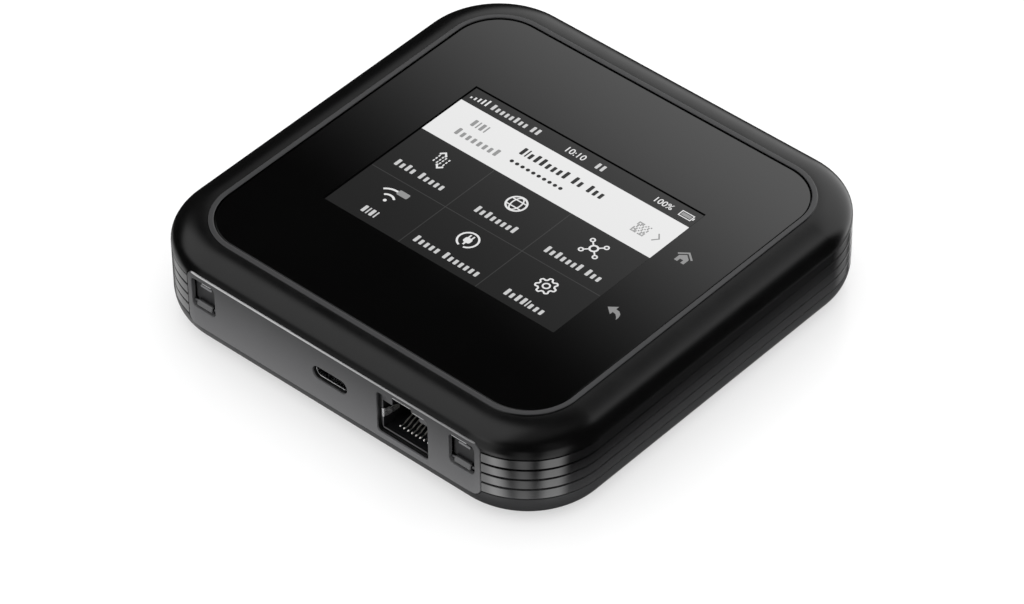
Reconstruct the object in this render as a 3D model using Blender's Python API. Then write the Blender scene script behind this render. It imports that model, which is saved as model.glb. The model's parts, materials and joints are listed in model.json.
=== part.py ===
"""Mobile hotspot: a square pocket router with a touch screen, modelled as separate sub-parts.

The origin is the centre of the plane the feet rest on, +Z is up, and the ports face -Y.
"""

import math

import bmesh
import bpy
from mathutils import Matrix, Vector

MM = 0.001

# Driving dimensions of the case
BODY_SIDE = 105 * MM
BODY_HEIGHT = 21.5 * MM
CORNER_RADIUS = 18 * MM
FOOT_LIFT = 1.0 * MM  # height of the case's underside above the resting plane
SEAM = 0.1 * MM  # half of the visible gap between two case parts
FIT = 0.15 * MM  # gap round a part that sits in a pocket
THROUGH = 1.0 * MM  # how far a cutter runs past the wall that it cuts

# Ridge band: four strips between the bottom shell and the top housing
BAND_BOTTOM = 6.4 * MM
STRIP_PITCH = 2.5 * MM
STRIP_COUNT = 4
BAND_TOP = BAND_BOTTOM + STRIP_COUNT * STRIP_PITCH
GROOVE_WIDTH = 0.35 * MM
GROOVE_DEPTH = 0.6 * MM
STRIP_CHAMFER = 0.15 * MM
BAND_WALL = 2.0 * MM

# Curves of the case, as insets from its widest outline
SHOULDER_START = 17.0 * MM
SHOULDER_WIDTH = 7.0 * MM
SHOULDER_POWER = 2.14  # exponent of the superellipse
UNDER_WIDTH = 3.5 * MM
UNDER_RISE = BAND_BOTTOM - SEAM - FOOT_LIFT
LIP_RISE = 0.3 * MM
LIP_WIDTH = 1.1 * MM
SHOULDER_TOP = BODY_HEIGHT - LIP_RISE
GLASS_INSET = SHOULDER_WIDTH + LIP_WIDTH
GLASS_GAP = 0.3 * MM
GLASS_THICKNESS = 1.05 * MM
CAVITY_INSET = 2.2 * MM
FLOOR_TOP = 3.2 * MM
ROOF_BOTTOM = 18.4 * MM
ROOF_TOP = 19.9 * MM

# Display
SCREEN_CENTRE = (0.3 * MM, 0.2 * MM)
LCD_SIZE = (63 * MM, 49 * MM, 0.8 * MM)
BACKLIGHT_SIZE = (65 * MM, 51 * MM, 1.8 * MM)
LCD_BOTTOM = 19.2 * MM
BACKLIGHT_BOTTOM = 17.3 * MM
DISPLAY_CORNER = 0.8 * MM
FLEX_WIDTH = 14 * MM
FLEX_THICKNESS = 0.2 * MM

# Port panel
PANEL_HALF_WIDTH = 38 * MM
PANEL_BOTTOM = 5.3 * MM
PANEL_TOP = 18.2 * MM
PANEL_CORNER = 1.75 * MM
PANEL_THICKNESS = 1.0 * MM
PANEL_PROUD = 0.05 * MM

# Antenna ports and their hinged covers
ANTENNA_X = 33.6 * MM
ANTENNA_SOCKET_Z = 13.5 * MM
ANTENNA_OPENING_HALF = 3.15 * MM
ANTENNA_OPENING_BOTTOM = 9.7 * MM
ANTENNA_OPENING_TOP = 17.0 * MM
ANTENNA_OPENING_CORNER = 1.05 * MM
HINGE_Y = -51.55 * MM
HINGE_Z = 10.75 * MM
HINGE_BARREL_RADIUS = 0.85 * MM
HINGE_PIN_RADIUS = 0.35 * MM
HINGE_HOLE_RADIUS = 0.5 * MM
HINGE_LUG_WIDTH = 1.2 * MM
COVER_FRONT = HINGE_Y + 0.3 * MM
COVER_BACK = HINGE_Y + 0.75 * MM
COVER_LIP_Z = 15.1 * MM
COVER_LIP_SIZE = (3 * MM, 0.35 * MM, 0.56 * MM)  # width, how proud, height
SOCKET_FRONT = -50.4 * MM
SOCKET_BACK = -42.8 * MM
SOCKET_RADIUS = 2.3 * MM
SOCKET_BORE = 1.75 * MM
SOCKET_BORE_DEPTH = 6 * MM

# USB-C port
USB_X = -0.15 * MM
USB_Z = 11.93 * MM
USB_SHELL = (8.75 * MM, 3.0 * MM)
USB_WALL = 0.22 * MM
USB_FRONT = -51.65 * MM
USB_BACK = -44.8 * MM

# Ethernet port
JACK_X = 18.55 * MM
JACK_WIDTH = 15.4 * MM
JACK_BOTTOM = 5.7 * MM
JACK_TOP = 17.0 * MM
JACK_FRONT = -51.4 * MM
JACK_BACK = -36.6 * MM
JACK_FLOOR = 6.9 * MM
JACK_OPENING_HALF = 6.55 * MM
JACK_OPENING_BOTTOM = 6.4 * MM
JACK_OPENING_TOP = 16.5 * MM
JACK_OPENING_CORNER = 0.9 * MM
# The bump in the opening's top edge, over the latch: half width, bottom, top, corner
JACK_OPENING_BUMP = (2.45 * MM, 15.2 * MM, 17.2 * MM, 0.5 * MM)
JACK_BACK_WALL = 1.4 * MM
# The plug's space, and the step above it for the plug's latch: half width and top
JACK_STEPS = ((5.95 * MM, 13.85 * MM), (3.45 * MM, 15.6 * MM))
CONTACT_COUNT = 8
CONTACT_PITCH = 1.02 * MM
CONTACT_SIDE = 0.35 * MM

# Main board and what it carries
BOARD_BOTTOM = 11.5 * MM
BOARD_TOP = 12.3 * MM
BOARD_INSET = 3.7 * MM
ON_BOARD = BOARD_TOP + 0.05 * MM  # where parts stand on the board
UNDER_BOARD = BOARD_BOTTOM - 0.1 * MM  # where parts hang from the board
MODEM_CENTRE = (-12 * MM, 8 * MM)

# Screws, their bosses, and the feet that hide the case screws
CASE_SCREW_XY = 40.2 * MM
CASE_SCREW_BOTTOM = 1.9 * MM
CASE_SCREW_LENGTH = 12 * MM
CASE_SCREW_SHANK = 0.8 * MM
CASE_BOSS_RADIUS = 2.4 * MM
CASE_BOSS_BORE = 1.0 * MM
CASE_BOSS_MEETING = 9.6 * MM
HEAD_RADIUS = 1.6 * MM
HEAD_BORE = 1.9 * MM
HEAD_BORE_TOP = 3.2 * MM
BOARD_SCREW_X = 44.5 * MM
BOARD_SCREW_BOTTOM = 10.4 * MM
BOARD_SCREW_LENGTH = 4.6 * MM
BOARD_SCREW_SHANK = 0.65 * MM
BOARD_BOSS_RADIUS = 2.0 * MM
BOARD_BOSS_BORE = 0.85 * MM
BORE_TOP = 16 * MM
FOOT_RADIUS = 4 * MM
FOOT_THICKNESS = 1.3 * MM
FOOT_POCKET_DEPTH = 0.4 * MM

# Battery bay
COVER_HALF = 40 * MM
COVER_CORNER = 12 * MM
COVER_BOTTOM = 1.05 * MM
COVER_TOP = 2.15 * MM
BAY_HALF_X = 38.5 * MM
BAY_FRONT = -33.5 * MM
BAY_BACK = 38.5 * MM
BAY_CORNER = 4.7 * MM
TRAY_WALL = 0.8 * MM
TRAY_TOP = 10.6 * MM
TRAY_ROOF = 0.6 * MM
BATTERY_SIZE = (75 * MM, 56 * MM, 7 * MM)
BATTERY_CENTRE_Y = -4.5 * MM
BATTERY_BOTTOM = 2.5 * MM
RESET_XY = (28 * MM, 32 * MM)
SIM_LEFT = 2 * MM
SIM_RIGHT = 16 * MM
SIM_FRONT = 27 * MM
SIM_BACK = 36.5 * MM
SIM_BOTTOM = 10 * MM
SIM_CARD = (12.3 * MM, 8.8 * MM, 0.67 * MM)
SIM_TRAVEL_LEFT = -13 * MM  # how far left the bay stays clear for the card
CONTACTS_LEFT = -30 * MM
CONTACTS_RIGHT = -20 * MM
CONTACTS_BACK = 27.5 * MM

# Power button, on the back edge
BUTTON_HALF_WIDTH = 6.5 * MM
BUTTON_HALF_HEIGHT = 2.2 * MM
BUTTON_Z = BAND_BOTTOM + 2 * STRIP_PITCH
BUTTON_FLANGE_FRONT = 49.5 * MM
BUTTON_FLANGE_BACK = 50.25 * MM
SWITCH_Z = 13.4 * MM

# Smoothness
CASE_CORNER_STEPS = 8
PLATE_CORNER_STEPS = 4
CURVE_STEPS = 5
ROUND_STEPS = 16
SMALL_ROUND_STEPS = 12


# Small tools


def clear_scene():
    for obj in list(bpy.data.objects):
        bpy.data.objects.remove(obj)


def material(name, colour, roughness, metallic=0.0):
    made = bpy.data.materials.new(name)
    made.use_nodes = True
    shader = made.node_tree.nodes["Principled BSDF"]
    shader.inputs["Base Color"].default_value = (*colour, 1.0)
    shader.inputs["Roughness"].default_value = roughness
    shader.inputs["Metallic"].default_value = metallic
    return made


def object_from(name, shape, centre, finish):
    """An object at centre from a bmesh whose vertices are counted from that centre."""
    bmesh.ops.recalc_face_normals(shape, faces=shape.faces)
    mesh = bpy.data.meshes.new(name)
    shape.to_mesh(mesh)
    shape.free()
    obj = bpy.data.objects.new(name, mesh)
    obj.location = centre
    bpy.context.scene.collection.objects.link(obj)
    if finish:
        mesh.materials.append(finish)
    return obj


def helper(obj):
    """Makes the object a cutter or an added shape that isn't a part of its own."""
    obj.hide_render = True
    obj.display_type = "WIRE"
    return obj


def combine(target, tool, operation):
    modifier = target.modifiers.new(tool.name, "BOOLEAN")
    modifier.operation = operation
    modifier.object = helper(tool)
    return target


def cut(target, *tools):
    for tool in tools:
        combine(target, tool, "DIFFERENCE")
    return target


def join(target, *tools):
    for tool in tools:
        combine(target, tool, "UNION")
    return target


def smooth(obj, degrees=35):
    obj.data.shade_smooth()
    obj.data.set_sharp_from_angle(angle=math.radians(degrees))
    return obj


def rounded_outline(half_x, half_y, radius, steps=PLATE_CORNER_STEPS):
    """Points of a rounded rectangle, anticlockwise from its +X side's upper end."""
    points = []
    for quarter in range(4):
        sign_x = 1 if quarter in (0, 3) else -1
        sign_y = 1 if quarter in (0, 1) else -1
        for step in range(steps + 1):
            angle = math.pi / 2 * (quarter + step / steps)
            x = sign_x * (half_x - radius) + radius * math.cos(angle)
            y = sign_y * (half_y - radius) + radius * math.sin(angle)
            points.append((x, y))
    return points


def body_outline(inset):
    """The case's outline, moved inwards by inset."""
    half = BODY_SIDE / 2 - inset
    return rounded_outline(half, half, CORNER_RADIUS - inset, CASE_CORNER_STEPS)


def loft(name, rings, finish, centre=(0, 0, 0), closed=False):
    """A solid through rings of equally many points, capped, or closed on itself."""
    shape = bmesh.new()
    loops = [[shape.verts.new(point) for point in ring] for ring in rings]
    pairs = list(zip(loops, loops[1:]))
    if closed:
        pairs.append((loops[-1], loops[0]))
    else:
        shape.faces.new(loops[0])
        shape.faces.new(loops[-1])
    for low, high in pairs:
        for index in range(len(low)):
            after = (index + 1) % len(low)
            shape.faces.new((low[index], low[after], high[after], high[index]))
    return object_from(name, shape, centre, finish)


def body_loft(name, profile, finish, closed=False):
    """A solid whose cross-section at each height is the case's outline, inset."""
    rings = [[(x, y, z) for x, y in body_outline(inset)] for inset, z in profile]
    return loft(name, rings, finish, closed=closed)


def plate(name, half_x, half_y, radius, bottom, top, finish=None, centre=(0, 0)):
    """A flat rounded rectangle between two heights."""
    outline = rounded_outline(half_x, half_y, radius)
    rings = [[(x, y, z) for x, y in outline] for z in (0, top - bottom)]
    return loft(name, rings, finish, (*centre, bottom))


def upright_plate(name, half_x, half_z, radius, front, back, finish, centre):
    """A rounded rectangle that faces the port side, between two depths; centre is (x, z)."""
    outline = rounded_outline(half_x, half_z, radius)
    rings = [[(x, y, z) for x, z in outline] for y in (0, back - front)]
    return loft(name, rings, finish, (centre[0], front, centre[1]))


def box(name, low, high, finish=None):
    low = Vector(low)
    high = Vector(high)
    shape = bmesh.new()
    bmesh.ops.create_cube(shape, size=1)
    bmesh.ops.scale(shape, vec=high - low, verts=shape.verts)
    return object_from(name, shape, (low + high) / 2, finish)


def rod(name, radius, start, end, finish=None, steps=ROUND_STEPS):
    """A round bar from start to end."""
    start = Vector(start)
    end = Vector(end)
    shape = bmesh.new()
    turn = Vector((0, 0, 1)).rotation_difference(end - start).to_matrix().to_4x4()
    bmesh.ops.create_cone(
        shape,
        cap_ends=True,
        segments=steps,
        radius1=radius,
        radius2=radius,
        depth=(end - start).length,
        matrix=turn,
    )
    return object_from(name, shape, (start + end) / 2, finish)


def bore(name, radius, start, end):
    """The cutter for a small round hole."""
    return rod(name, radius, start, end, steps=SMALL_ROUND_STEPS)


def turned(name, profile, centre, finish, steps=ROUND_STEPS):
    """A solid turned about the vertical through centre; profile is (radius, height) upwards."""
    rings = []
    for radius, height in profile:
        angles = [2 * math.pi * step / steps for step in range(steps)]
        rings.append([(radius * math.cos(a), radius * math.sin(a), height) for a in angles])
    return smooth(loft(name, rings, finish, centre))


def ribbon(name, path, width, thickness, centre_x, finish):
    """A strip of one width in X that follows a path of (y, z) points."""
    sides = []
    for index, point in enumerate(path):
        before = Vector(path[max(index - 1, 0)])
        after = Vector(path[min(index + 1, len(path) - 1)])
        along = (after - before).normalized()
        across = Vector((-along.y, along.x)) * thickness / 2
        here = Vector(point)
        sides.append((here - across, here + across))
    rings = []
    for low, high in sides:
        corners = ((-1, low), (1, low), (1, high), (-1, high))
        rings.append([(sign * width / 2, p.x, p.y) for sign, p in corners])
    return loft(name, rings, finish, (centre_x, 0, 0))


def screw(name, centre, shank, length):
    """A screw that points up, with its head at the bottom; centre is on the head's face."""
    head_height = 1.0 * MM
    profile = [
        (HEAD_RADIUS - 0.2 * MM, 0),
        (HEAD_RADIUS, 0.2 * MM),
        (HEAD_RADIUS, head_height),
        (shank, head_height),
        (shank, length),
    ]
    return turned(name, profile, centre, STEEL)


def put_origin(obj, point):
    """Moves the object's origin to a point of the world, and leaves its shape in place."""
    point = Vector(point)
    obj.data.transform(Matrix.Translation(obj.location - point))
    obj.location = point
    return obj


# Finishes

clear_scene()

SATIN_BLACK = material("satin_black_plastic", (0.018, 0.018, 0.019), 0.42)
GLOSS_BLACK = material("gloss_black_plastic", (0.022, 0.022, 0.024), 0.16)
PANEL_GREY = material("satin_grey_plastic", (0.055, 0.055, 0.058), 0.45)
GLASS_BLACK = material("black_cover_glass", (0.006, 0.006, 0.007), 0.05)
RUBBER = material("black_rubber", (0.02, 0.02, 0.02), 0.85)
STEEL = material("steel", (0.55, 0.55, 0.56), 0.3, 1.0)
NICKEL = material("nickel_plate", (0.62, 0.61, 0.58), 0.28, 1.0)
GOLD = material("gold_plate", (0.83, 0.6, 0.24), 0.25, 1.0)
ALUMINIUM = material("aluminium_sheet", (0.72, 0.72, 0.73), 0.4, 1.0)
BOARD_GREEN = material("circuit_board", (0.012, 0.03, 0.022), 0.5)
LCD_GREY = material("display_layers", (0.05, 0.052, 0.058), 0.2)
LIGHT_GREY = material("white_plastic_film", (0.62, 0.62, 0.63), 0.5)
AMBER_FILM = material("amber_polyimide", (0.36, 0.17, 0.035), 0.4)
CARRIER_BLACK = material("antenna_carrier_plastic", (0.03, 0.03, 0.032), 0.5)
PAD_BLUE = material("thermal_pad_blue", (0.16, 0.3, 0.42), 0.8)
BATTERY_FILM = material("battery_wrap", (0.03, 0.03, 0.033), 0.5)
FOAM = material("gasket_foam", (0.012, 0.012, 0.012), 0.95)
JACK_PLASTIC = material("jack_plastic", (0.028, 0.028, 0.03), 0.4)


# Case


def shoulder_profile():
    """(inset, height) from the top of the housing's straight skirt to the foot of the lip."""
    rise = SHOULDER_TOP - SHOULDER_START
    points = []
    for step in range(CURVE_STEPS + 1):
        angle = math.pi / 2 * step / CURVE_STEPS
        across = 1 - math.cos(angle) ** (2 / SHOULDER_POWER)
        up = math.sin(angle) ** (2 / SHOULDER_POWER)
        points.append((SHOULDER_WIDTH * across, SHOULDER_START + rise * up))
    return points


def underside_profile():
    """(inset, height) of the rounded bottom edge, from the underside upwards."""
    points = []
    for step in range(CURVE_STEPS + 1):
        angle = math.pi / 2 * step / CURVE_STEPS
        inset = UNDER_WIDTH * (1 - math.sin(angle))
        points.append((inset, FOOT_LIFT + UNDER_RISE * (1 - math.cos(angle))))
    return points


def panel_notch(name):
    """The cutter that clears the port side of the case for the port panel."""
    half_height = (PANEL_TOP - PANEL_BOTTOM) / 2 + FIT
    centre = (0, (PANEL_TOP + PANEL_BOTTOM) / 2)
    front = -BODY_SIDE / 2 - THROUGH
    back = -BODY_SIDE / 2 + 2 * CAVITY_INSET
    half_width = PANEL_HALF_WIDTH + FIT
    return upright_plate(name, half_width, half_height, PANEL_CORNER + FIT, front, back, None, centre)


def corner_points():
    """Name and (x, y) of the four corners where the feet and the case screws sit."""
    for side, x in (("left", -CASE_SCREW_XY), ("right", CASE_SCREW_XY)):
        yield f"front_{side}", (x, -CASE_SCREW_XY)
        yield f"back_{side}", (x, CASE_SCREW_XY)


def display_window():
    """The cutter for the opening in the housing's roof that the display module sits in."""
    clearance = 0.5 * MM
    half_x = BACKLIGHT_SIZE[0] / 2 + clearance
    half_y = BACKLIGHT_SIZE[1] / 2 + clearance
    low = ROOF_BOTTOM - THROUGH
    high = ROOF_TOP + THROUGH
    return plate("display_window", half_x, half_y, DISPLAY_CORNER, low, high, None, SCREEN_CENTRE)


def board_screw_sides():
    return (("left", -BOARD_SCREW_X), ("right", BOARD_SCREW_X))


def add_boss(case_part, name, radius, bore_radius, bottom, top, bore_top):
    """Joins an upright post to a case part and bores it; bottom and top are points."""
    join(case_part, rod(f"{name}_post", radius, bottom, top))
    low = (bottom[0], bottom[1], min(bottom[2], bore_top) - THROUGH)
    high = (top[0], top[1], bore_top)
    cut(case_part, bore(f"{name}_bore", bore_radius, low, high))


def make_top_housing():
    """The shell over the works, with the lip round the glass and the bosses for the screws."""
    skirt_bottom = BAND_TOP + SEAM
    profile = [(0, skirt_bottom), *shoulder_profile(), (SHOULDER_WIDTH, BODY_HEIGHT)]
    housing = body_loft("top_housing", profile, SATIN_BLACK)
    hollow = [(CAVITY_INSET, skirt_bottom - THROUGH), (CAVITY_INSET, ROOF_BOTTOM)]
    pocket = [(GLASS_INSET, ROOF_TOP), (GLASS_INSET, BODY_HEIGHT + THROUGH)]
    cut(housing, body_loft("top_hollow", hollow, None), body_loft("glass_pocket", pocket, None))
    cut(housing, display_window(), panel_notch("top_notch"))
    boss_top = (ROOF_BOTTOM + ROOF_TOP) / 2
    for place, (x, y) in corner_points():
        low = (x, y, CASE_BOSS_MEETING + FIT)
        high = (x, y, boss_top)
        add_boss(housing, f"top_{place}", CASE_BOSS_RADIUS, CASE_BOSS_BORE, low, high, BORE_TOP)
    for side, x in board_screw_sides():
        low = (x, 0, BOARD_TOP + FIT)
        high = (x, 0, boss_top)
        add_boss(housing, f"board_{side}", BOARD_BOSS_RADIUS, BOARD_BOSS_BORE, low, high, BORE_TOP)
    return smooth(housing)


def strip_profile():
    """(inset, height) down the outside of the ridge band, from its bottom to its top."""
    points = []
    for strip in range(STRIP_COUNT):
        low = BAND_BOTTOM + strip * STRIP_PITCH + (SEAM if strip == 0 else GROOVE_WIDTH / 2)
        high = BAND_BOTTOM + (strip + 1) * STRIP_PITCH
        high -= SEAM if strip == STRIP_COUNT - 1 else GROOVE_WIDTH / 2
        if strip:
            points.append((GROOVE_DEPTH, low))
        points += [(STRIP_CHAMFER, low), (0, low + STRIP_CHAMFER)]
        points += [(0, high - STRIP_CHAMFER), (STRIP_CHAMFER, high)]
        if strip < STRIP_COUNT - 1:
            points.append((GROOVE_DEPTH, high))
    return points


def make_ridge_band():
    inside = [(BAND_WALL, BAND_TOP - SEAM), (BAND_WALL, BAND_BOTTOM + SEAM)]
    band = body_loft("ridge_band", strip_profile() + inside, GLOSS_BLACK, closed=True)
    cut(band, panel_notch("band_notch"))
    half_width = BUTTON_HALF_WIDTH + FIT
    half_height = BUTTON_HALF_HEIGHT + FIT
    front = BODY_SIDE / 2 - 2 * BAND_WALL
    back = BODY_SIDE / 2 + THROUGH
    centre = (0, BUTTON_Z)
    hole = upright_plate("button_hole", half_width, half_height, half_height, front, back, None, centre)
    return smooth(cut(band, hole))


def make_bottom_shell():
    """The lower shell, with the bay opening, the cover's recess and the feet's pockets."""
    shell = body_loft("bottom_shell", underside_profile(), SATIN_BLACK)
    hollow = [(CAVITY_INSET, FLOOR_TOP), (CAVITY_INSET, BAND_BOTTOM + THROUGH)]
    low = FOOT_LIFT - THROUGH
    bay = bay_plate("bay_opening", 0, low, FLOOR_TOP + THROUGH)
    cut(shell, body_loft("bottom_hollow", hollow, None), bay, panel_notch("bottom_notch"))
    cut(shell, cover_recess(low), pry_notch(low))
    for place, (x, y) in corner_points():
        bottom = (x, y, (FOOT_LIFT + FLOOR_TOP) / 2)
        top = (x, y, CASE_BOSS_MEETING)
        bore_top = CASE_BOSS_MEETING + THROUGH
        add_boss(shell, f"low_{place}", CASE_BOSS_RADIUS, CASE_BOSS_BORE, bottom, top, bore_top)
        head = rod(f"head_bore_{place}", HEAD_BORE, (x, y, low), (x, y, HEAD_BORE_TOP))
        pocket_top = FOOT_LIFT + FOOT_POCKET_DEPTH
        pocket = rod(f"foot_pocket_{place}", FOOT_RADIUS + FIT, (x, y, low), (x, y, pocket_top))
        cut(shell, head, pocket)
    return smooth(shell)


def cover_recess(low):
    half = COVER_HALF + 2 * FIT
    corner = COVER_CORNER + 2 * FIT
    return plate("cover_recess", half, half, corner, low, COVER_TOP + FIT)


def pry_notch(low):
    """The cutter for the shallow finger notch at the front edge of the battery cover."""
    radius = 6 * MM
    y = -COVER_HALF - radius / 2
    return rod("pry_notch", radius, (0, y, low), (0, y, FOOT_LIFT + 0.6 * MM))


def make_feet_and_case_screws():
    chamfer = 0.3 * MM
    foot_profile = [
        (FOOT_RADIUS - chamfer, 0),
        (FOOT_RADIUS, chamfer),
        (FOOT_RADIUS, FOOT_THICKNESS),
    ]
    for place, (x, y) in corner_points():
        turned(f"foot_{place}", foot_profile, (x, y, 0), RUBBER)
        centre = (x, y, CASE_SCREW_BOTTOM)
        screw(f"case_screw_{place}", centre, CASE_SCREW_SHANK, CASE_SCREW_LENGTH)


# Display


def make_display_glass():
    """The cover glass, with the edges of its upper face bevelled."""
    inset = GLASS_INSET + GLASS_GAP
    top = SHOULDER_TOP
    bevel = 0.15 * MM
    profile = [(inset, top - GLASS_THICKNESS), (inset, top - bevel), (inset + bevel, top)]
    return body_loft("display_glass", profile, GLASS_BLACK)


def make_glass_gasket():
    """A thin frame of adhesive foam between the housing's roof and the glass."""
    gap = 0.05 * MM
    outer = GLASS_INSET + GLASS_GAP
    inner = outer + 1.2 * MM
    low = ROOF_TOP + gap
    high = SHOULDER_TOP - GLASS_THICKNESS - gap
    profile = [(outer, low), (outer, high), (inner, high), (inner, low)]
    return body_loft("glass_gasket", profile, FOAM, closed=True)


def make_display_module():
    for name, size, bottom, finish in (
        ("lcd_panel", LCD_SIZE, LCD_BOTTOM, LCD_GREY),
        ("backlight_frame", BACKLIGHT_SIZE, BACKLIGHT_BOTTOM, LIGHT_GREY),
    ):
        half_x = size[0] / 2
        half_y = size[1] / 2
        top = bottom + size[2]
        plate(name, half_x, half_y, DISPLAY_CORNER, bottom, top, finish, SCREEN_CENTRE)


def make_display_flex():
    """The cable from the display's lower edge, round a bend, to the main board."""
    start_y = -25 * MM
    bend_y = -34.5 * MM
    end_y = -34 * MM
    high = BACKLIGHT_BOTTOM - 0.2 * MM
    low = BOARD_TOP + 0.25 * MM
    radius = (high - low) / 2
    path = [(start_y, high)]
    for step in range(CURVE_STEPS + 1):
        angle = math.pi / 2 + math.pi * step / CURVE_STEPS
        middle = high - radius
        path.append((bend_y + radius * math.cos(angle), middle + radius * math.sin(angle)))
    path.append((end_y, low))
    ribbon("display_flex", path, FLEX_WIDTH, FLEX_THICKNESS, -8 * MM, AMBER_FILM)


# Port side


def antenna_sides():
    return (("left", -ANTENNA_X), ("right", ANTENNA_X))


def port_cut(name, half_x, bottom, top, corner, centre_x):
    """The cutter for one opening through the port panel."""
    front = -BODY_SIDE / 2 - THROUGH
    back = -BODY_SIDE / 2 + 2 * CAVITY_INSET
    centre = (centre_x, (bottom + top) / 2)
    return upright_plate(name, half_x, (top - bottom) / 2, corner, front, back, None, centre)


def make_port_panel():
    """A faceplate that follows the case's outline, with lugs for the antenna covers' pins."""
    outer = -PANEL_PROUD
    inner = outer + PANEL_THICKNESS
    below = PANEL_BOTTOM - THROUGH
    above = PANEL_TOP + THROUGH
    wall = [(outer, below), (outer, above), (inner, above), (inner, below)]
    panel = body_loft("port_panel", wall, PANEL_GREY, closed=True)
    face = port_cut("panel_face", PANEL_HALF_WIDTH, PANEL_BOTTOM, PANEL_TOP, PANEL_CORNER, 0)
    combine(panel, face, "INTERSECT")
    add_hinge_lugs(panel)
    opening = (ANTENNA_OPENING_HALF, ANTENNA_OPENING_BOTTOM, ANTENNA_OPENING_TOP, ANTENNA_OPENING_CORNER)
    for side, x in antenna_sides():
        cut(panel, port_cut(f"antenna_cut_{side}", *opening, x))
    usb_half = USB_SHELL[0] / 2 + FIT
    usb_tall = USB_SHELL[1] / 2 + FIT
    cut(panel, port_cut("usb_cut", usb_half, USB_Z - usb_tall, USB_Z + usb_tall, usb_tall, USB_X))
    opening = (JACK_OPENING_HALF, JACK_OPENING_BOTTOM, JACK_OPENING_TOP, JACK_OPENING_CORNER)
    cut(panel, port_cut("jack_cut", *opening, JACK_X), port_cut("jack_bump", *JACK_OPENING_BUMP, JACK_X))
    return smooth(panel)


def add_hinge_lugs(panel):
    """Two lugs beside each antenna opening, bored for the hinge pin of its cover."""
    front = HINGE_Y - 0.3 * MM
    back = HINGE_Y + HINGE_BARREL_RADIUS - 0.1 * MM
    for side, x in antenna_sides():
        for end, sign in (("inner", -1), ("outer", 1)):
            near = x + sign * ANTENNA_OPENING_HALF
            far = near + sign * HINGE_LUG_WIDTH
            low = (min(near, far), front, HINGE_Z - HINGE_BARREL_RADIUS)
            high = (max(near, far), back, HINGE_Z + HINGE_BARREL_RADIUS)
            join(panel, box(f"lug_{side}_{end}", low, high))
        reach = ANTENNA_OPENING_HALF + 2 * HINGE_LUG_WIDTH
        cut(panel, bore(f"lug_bore_{side}", HINGE_HOLE_RADIUS, *hinge_line(x, reach)))


def hinge_line(x, reach):
    """The two ends of a stretch of a cover's hinge axis, reach to each side of x."""
    return (x - reach, HINGE_Y, HINGE_Z), (x + reach, HINGE_Y, HINGE_Z)


def make_antenna_cover(side, x):
    """A flap with a hinge barrel along its lower edge and a raised lip for a fingernail."""
    barrel_half = 2.0 * MM
    lip_width, lip_proud, lip_height = COVER_LIP_SIZE
    half_width = ANTENNA_OPENING_HALF - 0.2 * MM
    bottom = HINGE_Z + 0.2 * MM
    top = ANTENNA_OPENING_TOP - 0.25 * MM
    middle = (x, (bottom + top) / 2)
    half_height = (top - bottom) / 2
    name = f"antenna_cover_{side}"
    cover = upright_plate(
        name, half_width, half_height, 0.7 * MM, COVER_FRONT, COVER_BACK, SATIN_BLACK, middle
    )
    barrel = rod(f"cover_barrel_{side}", HINGE_BARREL_RADIUS, *hinge_line(x, barrel_half))
    lip_low = (x - lip_width / 2, COVER_FRONT - lip_proud, COVER_LIP_Z - lip_height / 2)
    lip_high = (x + lip_width / 2, COVER_FRONT + 0.2 * MM, COVER_LIP_Z + lip_height / 2)
    join(cover, barrel, box(f"cover_lip_{side}", lip_low, lip_high))
    cut(cover, bore(f"cover_bore_{side}", HINGE_HOLE_RADIUS, *hinge_line(x, 2 * barrel_half)))
    return smooth(put_origin(cover, (x, HINGE_Y, HINGE_Z)))


def make_antenna_cover_pin(side, x):
    start, end = hinge_line(x, ANTENNA_OPENING_HALF + HINGE_LUG_WIDTH - 0.1 * MM)
    name = f"antenna_cover_pin_{side}"
    return smooth(rod(name, HINGE_PIN_RADIUS, start, end, STEEL, SMALL_ROUND_STEPS))


def make_antenna_socket(side, x):
    """A coaxial socket whose barrel faces the cover, on a block on the main board."""
    z = ANTENNA_SOCKET_Z
    front = (x, SOCKET_FRONT, z)
    name = f"antenna_socket_{side}"
    socket = rod(name, SOCKET_RADIUS, front, (x, SOCKET_BACK, z), NICKEL)
    block_half = 3 * MM
    low = (x - block_half, SOCKET_BACK - 0.6 * MM, ON_BOARD)
    high = (x + block_half, SOCKET_BACK + block_half, z + SOCKET_RADIUS + 0.1 * MM)
    join(socket, box(f"socket_block_{side}", low, high))
    bore_back = SOCKET_FRONT + SOCKET_BORE_DEPTH
    mouth = (x, SOCKET_FRONT - THROUGH, z)
    cut(socket, rod(f"socket_bore_{side}", SOCKET_BORE, mouth, (x, bore_back, z)))
    return smooth(socket)


def make_antenna_contact(side, x):
    """The centre pin of an antenna socket."""
    tip = (x, SOCKET_FRONT + 0.9 * MM, ANTENNA_SOCKET_Z)
    root = (x, SOCKET_FRONT + SOCKET_BORE_DEPTH - 0.2 * MM, ANTENNA_SOCKET_Z)
    return smooth(rod(f"antenna_contact_{side}", 0.45 * MM, tip, root, GOLD, SMALL_ROUND_STEPS))


def make_usb_shell():
    half_x = USB_SHELL[0] / 2
    half_z = USB_SHELL[1] / 2
    centre = (USB_X, USB_Z)
    shell = upright_plate("usb_c_shell", half_x, half_z, half_z, USB_FRONT, USB_BACK, STEEL, centre)
    inner_x = half_x - USB_WALL
    inner_z = half_z - USB_WALL
    front = USB_FRONT - THROUGH
    back = USB_BACK + THROUGH
    cut(shell, upright_plate("usb_hollow", inner_x, inner_z, inner_z, front, back, None, centre))
    return smooth(shell)


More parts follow.
